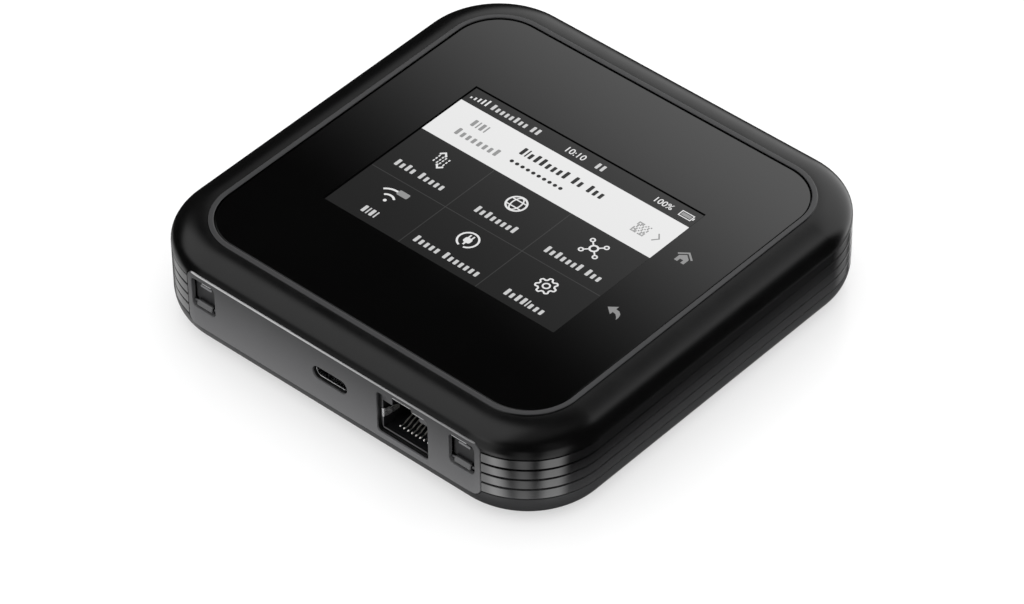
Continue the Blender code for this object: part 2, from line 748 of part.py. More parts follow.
def make_usb_tongue():
    """The socket's blade, on a base that closes the back of the shell."""
    gap = 0.1 * MM
    half_x = USB_SHELL[0] / 2 - USB_WALL - gap
    half_z = USB_SHELL[1] / 2 - USB_WALL - gap
    front = USB_BACK - 1.4 * MM
    back = USB_BACK - gap
    centre = (USB_X, USB_Z)
    tongue = upright_plate("usb_c_tongue", half_x, half_z, half_z, front, back, JACK_PLASTIC, centre)
    blade_half = 3.35 * MM
    blade_rise = 0.35 * MM
    low = (USB_X - blade_half, USB_FRONT + 0.7 * MM, USB_Z - blade_rise)
    high = (USB_X + blade_half, front + 0.5 * MM, USB_Z + blade_rise)
    return smooth(join(tongue, box("tongue_blade", low, high)))


def make_ethernet_housing():
    """The jack's body with a cavity for the plug and a step for its latch."""
    half = JACK_WIDTH / 2
    low = (JACK_X - half, JACK_FRONT, JACK_BOTTOM)
    high = (JACK_X + half, JACK_BACK, JACK_TOP - 0.35 * MM)
    housing = box("ethernet_housing", low, high, JACK_PLASTIC)
    for index, (half_width, top) in enumerate(JACK_STEPS):
        back = JACK_BACK - JACK_BACK_WALL - index * 2 * MM
        near = (JACK_X - half_width, JACK_FRONT - THROUGH, JACK_FLOOR)
        far = (JACK_X + half_width, back, top)
        cut(housing, box(f"plug_space_{index + 1}", near, far))
    return housing


def make_ethernet_shield():
    """Folded sheet over the top and the sides of the jack."""
    sheet = 0.25 * MM
    gap = 0.1 * MM
    half = JACK_WIDTH / 2 + gap
    front = JACK_FRONT + 0.5 * MM
    back = JACK_BACK - 0.3 * MM
    inside_top = JACK_TOP - sheet
    low = (JACK_X - half - sheet, front, JACK_BOTTOM + 0.6 * MM)
    high = (JACK_X + half + sheet, back, JACK_TOP)
    shield = box("ethernet_shield", low, high, NICKEL)
    near = (JACK_X - half, front - THROUGH, JACK_BOTTOM - THROUGH)
    far = (JACK_X + half, back + THROUGH, inside_top)
    return cut(shield, box("shield_hollow", near, far))


def make_ethernet_contacts():
    """Sprung wires that run back over the jack's floor and rise to its rear."""
    low = JACK_FLOOR + 0.15 * MM + CONTACT_SIDE / 2
    front = JACK_FRONT + 4.9 * MM
    bend = JACK_FRONT + 8.6 * MM
    back = JACK_BACK - JACK_BACK_WALL - 1 * MM
    path = [(front, low), (bend, low), (back, low + 4 * MM)]
    for index in range(CONTACT_COUNT):
        x = JACK_X + (index - (CONTACT_COUNT - 1) / 2) * CONTACT_PITCH
        ribbon(f"ethernet_contact_{index + 1}", path, CONTACT_SIDE, CONTACT_SIDE, x, GOLD)


# Electronics


def make_main_board():
    """A board that fills the case, cut away round the ports and the screw bosses."""
    profile = [(BOARD_INSET, BOARD_BOTTOM), (BOARD_INSET, BOARD_TOP)]
    board = body_loft("main_board", profile, BOARD_GREEN)
    under = BOARD_BOTTOM - THROUGH
    over = BOARD_TOP + THROUGH
    gap = 0.6 * MM
    ports = [
        ("jack", JACK_X, JACK_WIDTH / 2 + gap, JACK_BACK + gap),
        ("usb", USB_X, USB_SHELL[0] / 2 + gap, USB_BACK + gap),
    ]
    for side, x in antenna_sides():
        ports.append((f"antenna_{side}", x, SOCKET_RADIUS + gap / 2, SOCKET_BACK + gap / 2))
    for name, x, half_width, back in ports:
        low = (x - half_width, -BODY_SIDE / 2, under)
        high = (x + half_width, back, over)
        cut(board, box(f"board_cut_{name}", low, high))
    for place, (x, y) in corner_points():
        radius = CASE_BOSS_RADIUS + 0.4 * MM
        cut(board, rod(f"board_hole_{place}", radius, (x, y, under), (x, y, over)))
    for side, x in board_screw_sides():
        radius = BOARD_SCREW_SHANK + 0.3 * MM
        cut(board, bore(f"board_screw_hole_{side}", radius, (x, 0, under), (x, 0, over)))
    return board


def make_board_screws():
    for side, x in board_screw_sides():
        centre = (x, 0, BOARD_SCREW_BOTTOM)
        screw(f"board_screw_{side}", centre, BOARD_SCREW_SHANK, BOARD_SCREW_LENGTH)


def make_shield_can(name, centre, length, depth, height):
    """A pressed can on the board, open below."""
    sheet = 0.3 * MM
    corner = 0.8 * MM
    top = ON_BOARD + height
    can = plate(name, length / 2, depth / 2, corner, ON_BOARD, top, NICKEL, centre)
    inner_x = length / 2 - sheet
    inner_y = depth / 2 - sheet
    below = ON_BOARD - THROUGH
    inside = f"{name}_hollow"
    cut(can, plate(inside, inner_x, inner_y, corner - sheet, below, top - sheet, None, centre))


def make_shield_cans():
    """Cans over the modem, the Wi-Fi radio and the power supply."""
    make_shield_can("modem_shield", MODEM_CENTRE, 34 * MM, 30 * MM, 1.9 * MM)
    make_shield_can("wifi_shield", (20 * MM, 12 * MM), 22 * MM, 26 * MM, 1.9 * MM)
    make_shield_can("power_shield", (-6 * MM, -22 * MM), 30 * MM, 14 * MM, 1.5 * MM)


def make_cooling():
    """A soft pad on the modem's can, and the plate that spreads its heat."""
    side = 22 * MM
    pad_bottom = 14.4 * MM
    plate_bottom = 15.9 * MM
    gap = 0.1 * MM
    corner = 1 * MM
    pad_top = plate_bottom - gap
    plate("thermal_pad", side / 2, side / 2, corner, pad_bottom, pad_top, PAD_BLUE, MODEM_CENTRE)
    top = plate_bottom + 0.5 * MM
    plate("heat_spreader", 34 * MM, 32 * MM, 3 * corner, plate_bottom, top, ALUMINIUM)


def make_antenna_carrier(side, wall_turn, top):
    """An L-shaped carrier of a built-in antenna; wall_turn turns it from the right-hand wall."""
    wall = BODY_SIDE / 2 - CAVITY_INSET - 0.5 * MM
    thick = 1.2 * MM
    toe_reach = 3.6 * MM
    toe_rise = 0.8 * MM
    half_length = 28 * MM
    bottom = FLOOR_TOP + 0.3 * MM
    low = (wall - thick, -half_length, bottom)
    high = (wall, half_length, top)
    carrier = box(f"antenna_carrier_{side}", low, high, CARRIER_BLACK)
    toe_low = (wall - toe_reach, -half_length + thick, bottom)
    toe_high = (wall - thick / 2, half_length - thick, bottom + toe_rise)
    toe = box(f"carrier_toe_{side}", toe_low, toe_high)
    join(carrier, toe)
    turn = Matrix.Rotation(wall_turn, 4, "Z")
    for piece in (carrier, toe):
        piece.matrix_world = turn @ Matrix.Translation(piece.location)
    return carrier


def make_antenna_carriers():
    make_antenna_carrier("right", 0, 11.2 * MM)
    make_antenna_carrier("rear", math.pi / 2, 8.2 * MM)
    make_antenna_carrier("left", math.pi, 11.2 * MM)


# Battery bay


def bay_plate(name, outset, bottom, top, finish=None):
    half_y = (BAY_BACK - BAY_FRONT) / 2 + outset
    centre = (0, (BAY_BACK + BAY_FRONT) / 2)
    corner = BAY_CORNER + outset
    return plate(name, BAY_HALF_X + outset, half_y, corner, bottom, top, finish, centre)


def make_battery_tray():
    """The liner of the battery bay, open below, with windows for what the board carries."""
    bottom = FLOOR_TOP + SEAM
    gap = 0.4 * MM
    tray = bay_plate("battery_tray", SEAM + TRAY_WALL, bottom, TRAY_TOP, SATIN_BLACK)
    roof_bottom = TRAY_TOP - TRAY_ROOF
    cut(tray, bay_plate("tray_hollow", SEAM, bottom - THROUGH, roof_bottom))
    low = roof_bottom - THROUGH
    high = TRAY_TOP + THROUGH
    sim_low = (SIM_TRAVEL_LEFT, SIM_FRONT - gap, low)
    sim_high = (SIM_RIGHT + gap, SIM_BACK + gap, high)
    contact_low = (CONTACTS_LEFT - gap, battery_back() + 0.1 * MM, low)
    contact_high = (CONTACTS_RIGHT + gap, CONTACTS_BACK + gap, high)
    x, y = RESET_XY
    cut(tray, box("sim_window", sim_low, sim_high))
    cut(tray, box("contact_window", contact_low, contact_high))
    return cut(tray, rod("reset_hole", 1.3 * MM, (x, y, low), (x, y, high)))


def make_reset_button():
    """A button through the tray's roof, kept in by a flange above the roof."""
    x, y = RESET_XY
    stem = 1.0 * MM
    flange = 1.7 * MM
    drop = 1.1 * MM
    chamfer = 0.2 * MM
    flange_bottom = 0.05 * MM
    flange_top = 0.2 * MM
    profile = [
        (stem - chamfer, -drop),
        (stem, chamfer - drop),
        (stem, flange_bottom),
        (flange, flange_bottom),
        (flange, flange_top),
    ]
    return turned("reset_button", profile, (x, y, TRAY_TOP), PANEL_GREY)


def make_reset_switch():
    x, y = RESET_XY
    half = 1.5 * MM
    low = (x - half, y - half, UNDER_BOARD - 0.35 * MM)
    return box("reset_switch", low, (x + half, y + half, UNDER_BOARD + 0.05 * MM), NICKEL)


def make_sim_socket():
    """A card cage under the board, open to the left, with its floor cut away for a finger."""
    sheet = 0.25 * MM
    socket_low = (SIM_LEFT, SIM_FRONT, SIM_BOTTOM)
    socket = box("sim_socket", socket_low, (SIM_RIGHT, SIM_BACK, UNDER_BOARD), NICKEL)
    slot_low = (SIM_LEFT - THROUGH, SIM_FRONT + sheet, SIM_BOTTOM + sheet)
    slot_high = (SIM_RIGHT - 2 * sheet, SIM_BACK - sheet, UNDER_BOARD - sheet)
    grip_low = (SIM_LEFT - THROUGH, SIM_FRONT + 10 * sheet, SIM_BOTTOM - THROUGH)
    grip_high = ((SIM_LEFT + SIM_RIGHT) / 2, SIM_BACK - 10 * sheet, SIM_BOTTOM + 2 * sheet)
    return cut(socket, box("sim_slot", slot_low, slot_high), box("sim_grip", grip_low, grip_high))


def make_sim_card():
    """The card, whose end stands 1 mm out of the socket, with one corner cut off."""
    length, depth, thickness = SIM_CARD
    low = Vector((SIM_LEFT - 1 * MM, (SIM_FRONT + SIM_BACK - depth) / 2, SIM_BOTTOM + 0.34 * MM))
    card = box("sim_card", low, low + Vector((length, depth, thickness)), LIGHT_GREY)
    corner = low + Vector((length, depth, 0))
    tool = box("sim_corner", (-1 * MM, -1 * MM, -1 * MM), (1 * MM, 1 * MM, 1 * MM))
    tool.location = corner
    tool.rotation_euler.z = math.pi / 4
    return cut(card, tool)


def battery_back():
    return BATTERY_CENTRE_Y + BATTERY_SIZE[1] / 2


def make_battery():
    half_x = BATTERY_SIZE[0] / 2
    half_y = BATTERY_SIZE[1] / 2
    corner = 2 * MM
    top = BATTERY_BOTTOM + BATTERY_SIZE[2]
    centre = (0, BATTERY_CENTRE_Y)
    return plate("battery", half_x, half_y, corner, BATTERY_BOTTOM, top, BATTERY_FILM, centre)


def make_battery_contacts():
    """The block that meets the battery's pads, with a slot for each sprung contact."""
    front = battery_back() + 0.5 * MM
    low = (CONTACTS_LEFT, front, 6.2 * MM)
    block = box("battery_contacts", low, (CONTACTS_RIGHT, CONTACTS_BACK, UNDER_BOARD), JACK_PLASTIC)
    slot_count = 4
    slot_width = 1.2 * MM
    slot_depth = 0.8 * MM
    for slot in range(slot_count):
        left = CONTACTS_LEFT + slot_width * (2 * slot + 1) - slot_width / 4
        near = (left, front - THROUGH, 7 * MM)
        far = (left + slot_width, front + slot_depth, 9.4 * MM)
        cut(block, box(f"contact_slot_{slot + 1}", near, far))
    return block


def make_battery_cover():
    """A flush cover over the bay, with the edge of its outer face bevelled."""
    edge = 0.3 * MM
    rings = []
    for inset, z in ((edge, COVER_BOTTOM), (0, COVER_BOTTOM + edge), (0, COVER_TOP)):
        outline = rounded_outline(COVER_HALF - inset, COVER_HALF - inset, COVER_CORNER - inset)
        rings.append([(x, y, z - COVER_BOTTOM) for x, y in outline])
    return smooth(loft("battery_cover", rings, SATIN_BLACK, (0, 0, COVER_BOTTOM)))


# Power button


def make_power_button():
    """A pill in the back of the band, kept in by a flange behind the wall."""
    face = BODY_SIDE / 2 + PANEL_PROUD
    tall = BUTTON_HALF_HEIGHT
    centre = (0, BUTTON_Z)
    stem = BUTTON_FLANGE_FRONT + 0.2 * MM
    button = upright_plate("power_button", BUTTON_HALF_WIDTH, tall, tall, stem, face, GLOSS_BLACK, centre)
    wide = BUTTON_HALF_WIDTH + 0.8 * MM
    high = tall + 0.5 * MM
    front = BUTTON_FLANGE_FRONT
    back = BUTTON_FLANGE_BACK
    return smooth(join(button, upright_plate("button_flange", wide, high, high, front, back, None, centre)))


def make_power_switch():
    """The switch on the board's back edge, with the plunger that the button pushes."""
    body_half = 2.2 * MM
    plunger_half = 0.7 * MM
    back = BUTTON_FLANGE_FRONT - 1.3 * MM
    low = (-body_half, back - 2.8 * MM, ON_BOARD)
    switch = box("power_switch", low, (body_half, back, SWITCH_Z + 1 * MM), NICKEL)
    near = (-plunger_half, back - 0.2 * MM, SWITCH_Z - plunger_half)
    far = (plunger_half, BUTTON_FLANGE_FRONT - 0.55 * MM, SWITCH_Z + plunger_half)
    return join(switch, box("switch_plunger", near, far))


# Assembly

make_top_housing()
make_ridge_band()
make_bottom_shell()
make_feet_and_case_screws()
make_display_glass()
make_glass_gasket()
make_display_module()
make_display_flex()
make_port_panel()
for side_name, side_x in antenna_sides():
    make_antenna_cover(side_name, side_x)
    make_antenna_cover_pin(side_name, side_x)
    make_antenna_socket(side_name, side_x)
    make_antenna_contact(side_name, side_x)
make_usb_shell()
make_usb_tongue()
make_ethernet_housing()
make_ethernet_shield()
make_ethernet_contacts()
make_main_board()
make_board_screws()
make_shield_cans()
make_cooling()
make_antenna_carriers()
make_battery_tray()
make_reset_button()
make_reset_switch()
make_sim_socket()
make_sim_card()
make_battery()
make_battery_contacts()
make_battery_cover()
make_power_button()
make_power_switch()
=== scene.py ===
"""Looks of the mobile hotspot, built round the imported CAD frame.

Everything is in metres, with the origin at the centre of the plane the feet rest on, +Z up and
the ports towards -Y.
"""

import json
import math

import bmesh
import bpy
from mathutils import Matrix, Vector


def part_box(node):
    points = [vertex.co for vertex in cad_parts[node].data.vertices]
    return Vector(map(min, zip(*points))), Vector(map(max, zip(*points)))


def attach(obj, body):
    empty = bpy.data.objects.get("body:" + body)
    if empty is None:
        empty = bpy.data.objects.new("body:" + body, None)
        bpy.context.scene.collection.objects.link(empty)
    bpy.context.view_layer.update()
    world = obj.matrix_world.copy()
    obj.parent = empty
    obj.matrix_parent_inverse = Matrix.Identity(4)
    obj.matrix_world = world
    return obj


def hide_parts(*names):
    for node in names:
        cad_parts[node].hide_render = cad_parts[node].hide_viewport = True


MM = 0.001
CORNER_STEPS = 24  # facets in a quarter turn of the case
CURVE_STEPS = 14  # facets in a quarter turn of a profile
SMALL_STEPS = 8  # facets in a quarter turn of a small part
EDGE_STEPS = 4  # facets in a quarter turn of a rounded edge

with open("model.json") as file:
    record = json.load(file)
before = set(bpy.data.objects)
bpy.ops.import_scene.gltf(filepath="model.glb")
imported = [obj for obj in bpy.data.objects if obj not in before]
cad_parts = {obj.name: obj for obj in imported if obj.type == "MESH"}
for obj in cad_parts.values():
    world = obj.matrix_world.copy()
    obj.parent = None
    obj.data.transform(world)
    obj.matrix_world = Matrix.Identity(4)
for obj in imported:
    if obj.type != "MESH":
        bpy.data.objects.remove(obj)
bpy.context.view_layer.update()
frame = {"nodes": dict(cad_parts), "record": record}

# Sizes that follow from the CAD nodes
BODY_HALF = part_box("top_housing")[1].x
BODY_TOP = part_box("top_housing")[1].z
BODY_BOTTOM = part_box("bottom_shell")[0].z
BAND_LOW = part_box("ridge_band")[0].z
BAND_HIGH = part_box("ridge_band")[1].z
GLASS_LOW, GLASS_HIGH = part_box("display_glass")
PANEL_LOW, PANEL_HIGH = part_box("port_panel")
JACK_LOW, JACK_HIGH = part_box("ethernet_housing")
USB_LOW, USB_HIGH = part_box("usb_c_shell")
COVER_LOW, COVER_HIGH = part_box("battery_cover")

# The case
CORNER_RADIUS = 18 * MM
SEAM = 0.1 * MM
FIT = 0.15 * MM
THROUGH = 1 * MM
SKIRT_BOTTOM = BAND_HIGH + 2 * SEAM
SHELL_TOP = BAND_LOW - 2 * SEAM
SHOULDER_START = 17 * MM
SHOULDER_WIDTH = 7 * MM
SHOULDER_POWER = 2.14
SHOULDER_TOP = GLASS_HIGH.z
UNDER_WIDTH = 3.5 * MM
LIP_WIDTH = 1.1 * MM
POCKET_FLOOR = 19.9 * MM
CAVITY_INSET = 2.2 * MM
CAVITY_TOP = 18.4 * MM
CAVITY_FLOOR = 3.2 * MM
STRIP_COUNT = 4
STRIP_PITCH = (BAND_HIGH - BAND_LOW + 2 * SEAM) / STRIP_COUNT
GROOVE_WIDTH = 0.42 * MM
GROOVE_DEPTH = 0.6 * MM
BAND_WALL = 2 * MM
PANEL_CORNER = 1.75 * MM
PANEL_BACK = PANEL_LOW.y + 1 * MM
PANEL_LOW.z -= 0.3 * MM  # its rounded foot reaches a little lower than the plain plate
SCREEN_CENTRE = Vector((0.3 * MM, 0.2 * MM))
SCREEN_HALF = Vector((29.7 * MM, 22.25 * MM))
CASE_POST_RADIUS = 2.4 * MM
BOARD_POST_RADIUS = 2 * MM
SCREW_POST_TOP = 9.6 * MM
SCREW_HEAD_RADIUS = 1.9 * MM
SCREW_HOLE_RADIUS = 1 * MM
FOOT_POCKET_RADIUS = 4.15 * MM
COVER_CORNER = 12 * MM
BAY_CORNER = 4.7 * MM
EDGE = 0.12 * MM  # how far most moulded edges are rounded
GRAIN = 0.16 * MM  # size of the spark-eroded texture

# The ports. An opening is its half width, bottom, top and corner radius
ANTENNA_OPENING = (3.15 * MM, 9.7 * MM, 17 * MM, 1.05 * MM)
JACK_OPENING = (6.55 * MM, 6.4 * MM, 16.5 * MM, 0.9 * MM)
LATCH_OPENING = (2.45 * MM, 13.2 * MM, 17.2 * MM, 0.5 * MM)
BEAD_RADIUS = 0.08 * MM
BEAD_LIFT = 0.07 * MM  # of a bead's centre over the edge it lies along
JACK_X = (JACK_LOW.x + JACK_HIGH.x) / 2
JACK_FLOOR = 6.9 * MM
JACK_WALL_X = 5.95 * MM  # half width of the plug's space
HINGE_Y = -51.55 * MM
HINGE_Z = 10.75 * MM
BARREL_RADIUS = 0.85 * MM
FLAP_FRONT = HINGE_Y + 0.3 * MM
FLAP_BACK = HINGE_Y + 0.75 * MM
FLAP_LIP_Z = 15.1 * MM


# Mesh tools


def arc(centre, radius, start, end, steps):
    """Points of an arc, with its ends given in degrees."""
    points = []
    for step in range(steps + 1):
        angle = math.radians(start + (end - start) * step / steps)
        points.append((centre[0] + radius * math.cos(angle), centre[1] + radius * math.sin(angle)))
    return points


def rounded_outline(half_x, half_y, radius, steps=SMALL_STEPS, centre=(0, 0)):
    """Points of a rounded rectangle, anticlockwise."""
    points = []
    for quarter in range(4):
        sign_x = 1 if quarter in (0, 3) else -1
        sign_y = 1 if quarter in (0, 1) else -1
        middle = (centre[0] + sign_x * (half_x - radius), centre[1] + sign_y * (half_y - radius))
        points += arc(middle, radius, 90 * quarter, 90 * quarter + 90, steps)
    return points


def level(outline, z):
    """An outline laid flat at a height."""
    return [(x, y, z) for x, y in outline]


def body_outline(inset):
    half = BODY_HALF - inset
    return rounded_outline(half, half, CORNER_RADIUS - inset, CORNER_STEPS)


def top_outline(inset):
    """The body's outline as it climbs to the lip, where it is a little wider, rounder and set back."""
    share = min(max(inset / SHOULDER_WIDTH, 0), 1)
    half_x = BODY_HALF - inset + 0.15 * MM * share
    half_y = BODY_HALF - inset - 0.05 * MM * share
    radius = CORNER_RADIUS - inset + 0.8 * MM * share
    centre = (0.1 * MM * share, 0.2 * MM * share)
    return rounded_outline(half_x, half_y, radius, CORNER_STEPS, centre)


def bridge(shape, first, second):
    """Faces between two loops of equally many vertices."""
    for index in range(len(first)):
        after = (index + 1) % len(first)
        shape.faces.new((first[index], first[after], second[after], second[index]))


def loft(rings, closed=False):
    """A bmesh through rings of equally many points, capped, or closed on itself."""
    shape = bmesh.new()
    loops = [[shape.verts.new(point) for point in ring] for ring in rings]
    if closed:
        bridge(shape, loops[-1], loops[0])
    else:
        shape.faces.new(loops[0])
        shape.faces.new(loops[-1])
    for low, high in zip(loops, loops[1:]):
        bridge(shape, low, high)
    bmesh.ops.recalc_face_normals(shape, faces=shape.faces)
    return shape


def box_shape(low, high):
    shape = bmesh.new()
    bmesh.ops.create_cube(shape, size=1)
    low = Vector(low)
    high = Vector(high)
    bmesh.ops.scale(shape, vec=high - low, verts=shape.verts)
    bmesh.ops.translate(shape, vec=(low + high) / 2, verts=shape.verts)
    return shape


def turned(profile, centre, axis="Z", steps=48):
    """A solid turned about the Z or X axis through centre; profile is (radius, distance along it)."""
    rings = []
    for radius, along in profile:
        ring = []
        for step in range(steps):
            angle = 2 * math.pi * step / steps
            ring.append((radius * math.cos(angle), radius * math.sin(angle), along))
        rings.append(ring)
    shape = loft(rings)
    if axis == "X":
        shape.transform(Matrix.Rotation(math.pi / 2, 4, "Y"))
    shape.transform(Matrix.Translation(centre))
    return shape


def rod(radius, start, end, steps=32):
    """A plain round bar between two points, used as a tool."""
    start = Vector(start)
    end = Vector(end)
    turn = Vector((0, 0, 1)).rotation_difference(end - start).to_matrix().to_4x4()
    shape = bmesh.new()
    bmesh.ops.create_cone(
        shape,
        cap_ends=True,
        segments=steps,
        radius1=radius,
        radius2=radius,
        depth=(end - start).length,
        matrix=Matrix.Translation((start + end) / 2) @ turn,
    )
    return shape


def merged(*shapes):
    """One bmesh from several that don't touch."""
    total = shapes[0]
    for shape in shapes[1:]:
        mesh = bpy.data.meshes.new("passing")
        shape.to_mesh(mesh)
        shape.free()
        total.from_mesh(mesh)
        bpy.data.meshes.remove(mesh)
    return total


def case_bend(x):
    """How far the case's front wall falls back from its flat part, at x."""
    past = abs(x) - (BODY_HALF - CORNER_RADIUS)
    if past <= 0:
        return 0
    return CORNER_RADIUS - math.sqrt(max(CORNER_RADIUS**2 - past**2, 0))


def front_plate(half_x, half_z, radius, layers, centre, columns=2, bent=True):
    """A rounded rectangle that faces the port side and follows the case's bend.

    Layers are (inset, y) from the front to the back; centre is (x, z). Its front and back are made
    of upright strips, so that they bend cleanly.
    """
    shape = bmesh.new()
    loops = []
    for inset, y in layers:
        wide = half_x - inset
        tall = half_z - inset
        small = max(radius - inset, 0.01 * MM)
        top = arc((small - wide, tall - small), small, 180, 90, SMALL_STEPS)
        for column in range(1, columns):
            top.append(((wide - small) * (2 * column / columns - 1), tall))
        top += arc((wide - small, tall - small), small, 90, 0, SMALL_STEPS)
        loop = []
        for x, z in top + [(x, -z) for x, z in reversed(top)]:
            across = centre[0] + x
            bend = case_bend(across) if bent else 0
            loop.append(shape.verts.new((across, y + bend, centre[1] + z)))
        loops.append(loop)
    for low, high in zip(loops, loops[1:]):
        bridge(shape, low, high)
    count = len(loops[0])
    for loop in (loops[0], loops[-1]):
        for index in range(count // 2 - 1):
            other = count - 1 - index
            shape.faces.new((loop[index], loop[index + 1], loop[other - 1], loop[other]))
    bmesh.ops.recalc_face_normals(shape, faces=shape.faces)
    return shape


def rounded_layers(front, back, radius):
    """Layers for front_plate with its front edge rounded."""
    layers = []
    for step in range(EDGE_STEPS + 1):
        angle = math.pi / 2 * step / EDGE_STEPS
        layers.append((radius * (1 - math.sin(angle)), front + radius * (1 - math.cos(angle))))
    return layers + [(0, back)]


def flared_layers(front, back, radius):
    """Layers for a cutter that leaves a rounded edge round the opening it cuts."""
    layers = [(-inset, y) for inset, y in rounded_layers(front, back, radius)]
    return [(-radius, front - THROUGH)] + layers


def object_of(name, shape, finish):
    mesh = bpy.data.meshes.new(name)
    shape.to_mesh(mesh)
    shape.free()
    obj = bpy.data.objects.new(name, mesh)
    bpy.context.scene.collection.objects.link(obj)
    if finish:
        mesh.materials.append(finish)
    return obj


def apply_modifiers(obj):
    graph = bpy.context.evaluated_depsgraph_get()
    mesh = bpy.data.meshes.new_from_object(obj.evaluated_get(graph))
    old = obj.data
    obj.modifiers.clear()
    obj.data = mesh
    bpy.data.meshes.remove(old)
    mesh.name = obj.name


def carve(obj, tools, operation="DIFFERENCE"):
    """Cuts shapes out of the object, or joins them to it, and removes them."""
    helpers = []
    for shape in tools:
        tool = object_of("tool", shape, None)
        modifier = obj.modifiers.new("carve", "BOOLEAN")
        modifier.operation = operation
        modifier.solver = "EXACT"
        modifier.object = tool
        helpers.append(tool)
    apply_modifiers(obj)
    for tool in helpers:
        mesh = tool.data
        bpy.data.objects.remove(tool)
        bpy.data.meshes.remove(mesh)
    return obj


def soften(obj, width=0, angle=40):
    """Rounds the sharp edges a little and shades the rest smoothly."""
    if width:
        bevel = obj.modifiers.new("edges", "BEVEL")
        bevel.limit_method = "ANGLE"
        bevel.angle_limit = math.radians(angle)
        bevel.width = width
        bevel.segments = 2
        bevel.harden_normals = False
    obj.data.shade_smooth()
    obj.data.set_sharp_from_angle(angle=math.radians(angle))
    normals = obj.modifiers.new("normals", "WEIGHTED_NORMAL")
    normals.keep_sharp = True
    return obj


def add_piece(obj, body, slot, *nodes):
    """Parents the object to its body's empty and hides the CAD nodes it stands for; the slot is not used.
    """
    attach(obj, body)
    if nodes:
        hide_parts(*nodes)
    return obj


def case_piece(name, shape, finish, slot, *nodes, joins=(), cuts=(), edge=0, angle=40):
    """A piece that rides on the case: its shape, what is joined to it and what is cut from it."""
    obj = object_of(name, shape, FINISHES[finish])
    if joins:
        carve(obj, joins, "UNION")
    if cuts:
        carve(obj, cuts)
    return add_piece(soften(obj, edge, angle), "case", slot, *nodes)


# Material tools


def add_node(tree, kind, inputs=(), **settings):
    """A shader node; each of its inputs is given a value, or another node's output to follow."""
    node = tree.nodes.new(kind)
    for name, value in settings.items():
        setattr(node, name, value)
    for name, value in dict(inputs).items():
        if isinstance(value, bpy.types.NodeSocket):
            tree.links.new(value, node.inputs[name])
        else:
            node.inputs[name].default_value = value
    return node


def math_node(tree, operation, *values):
    return add_node(tree, "ShaderNodeMath", enumerate(values), operation=operation).outputs["Value"]


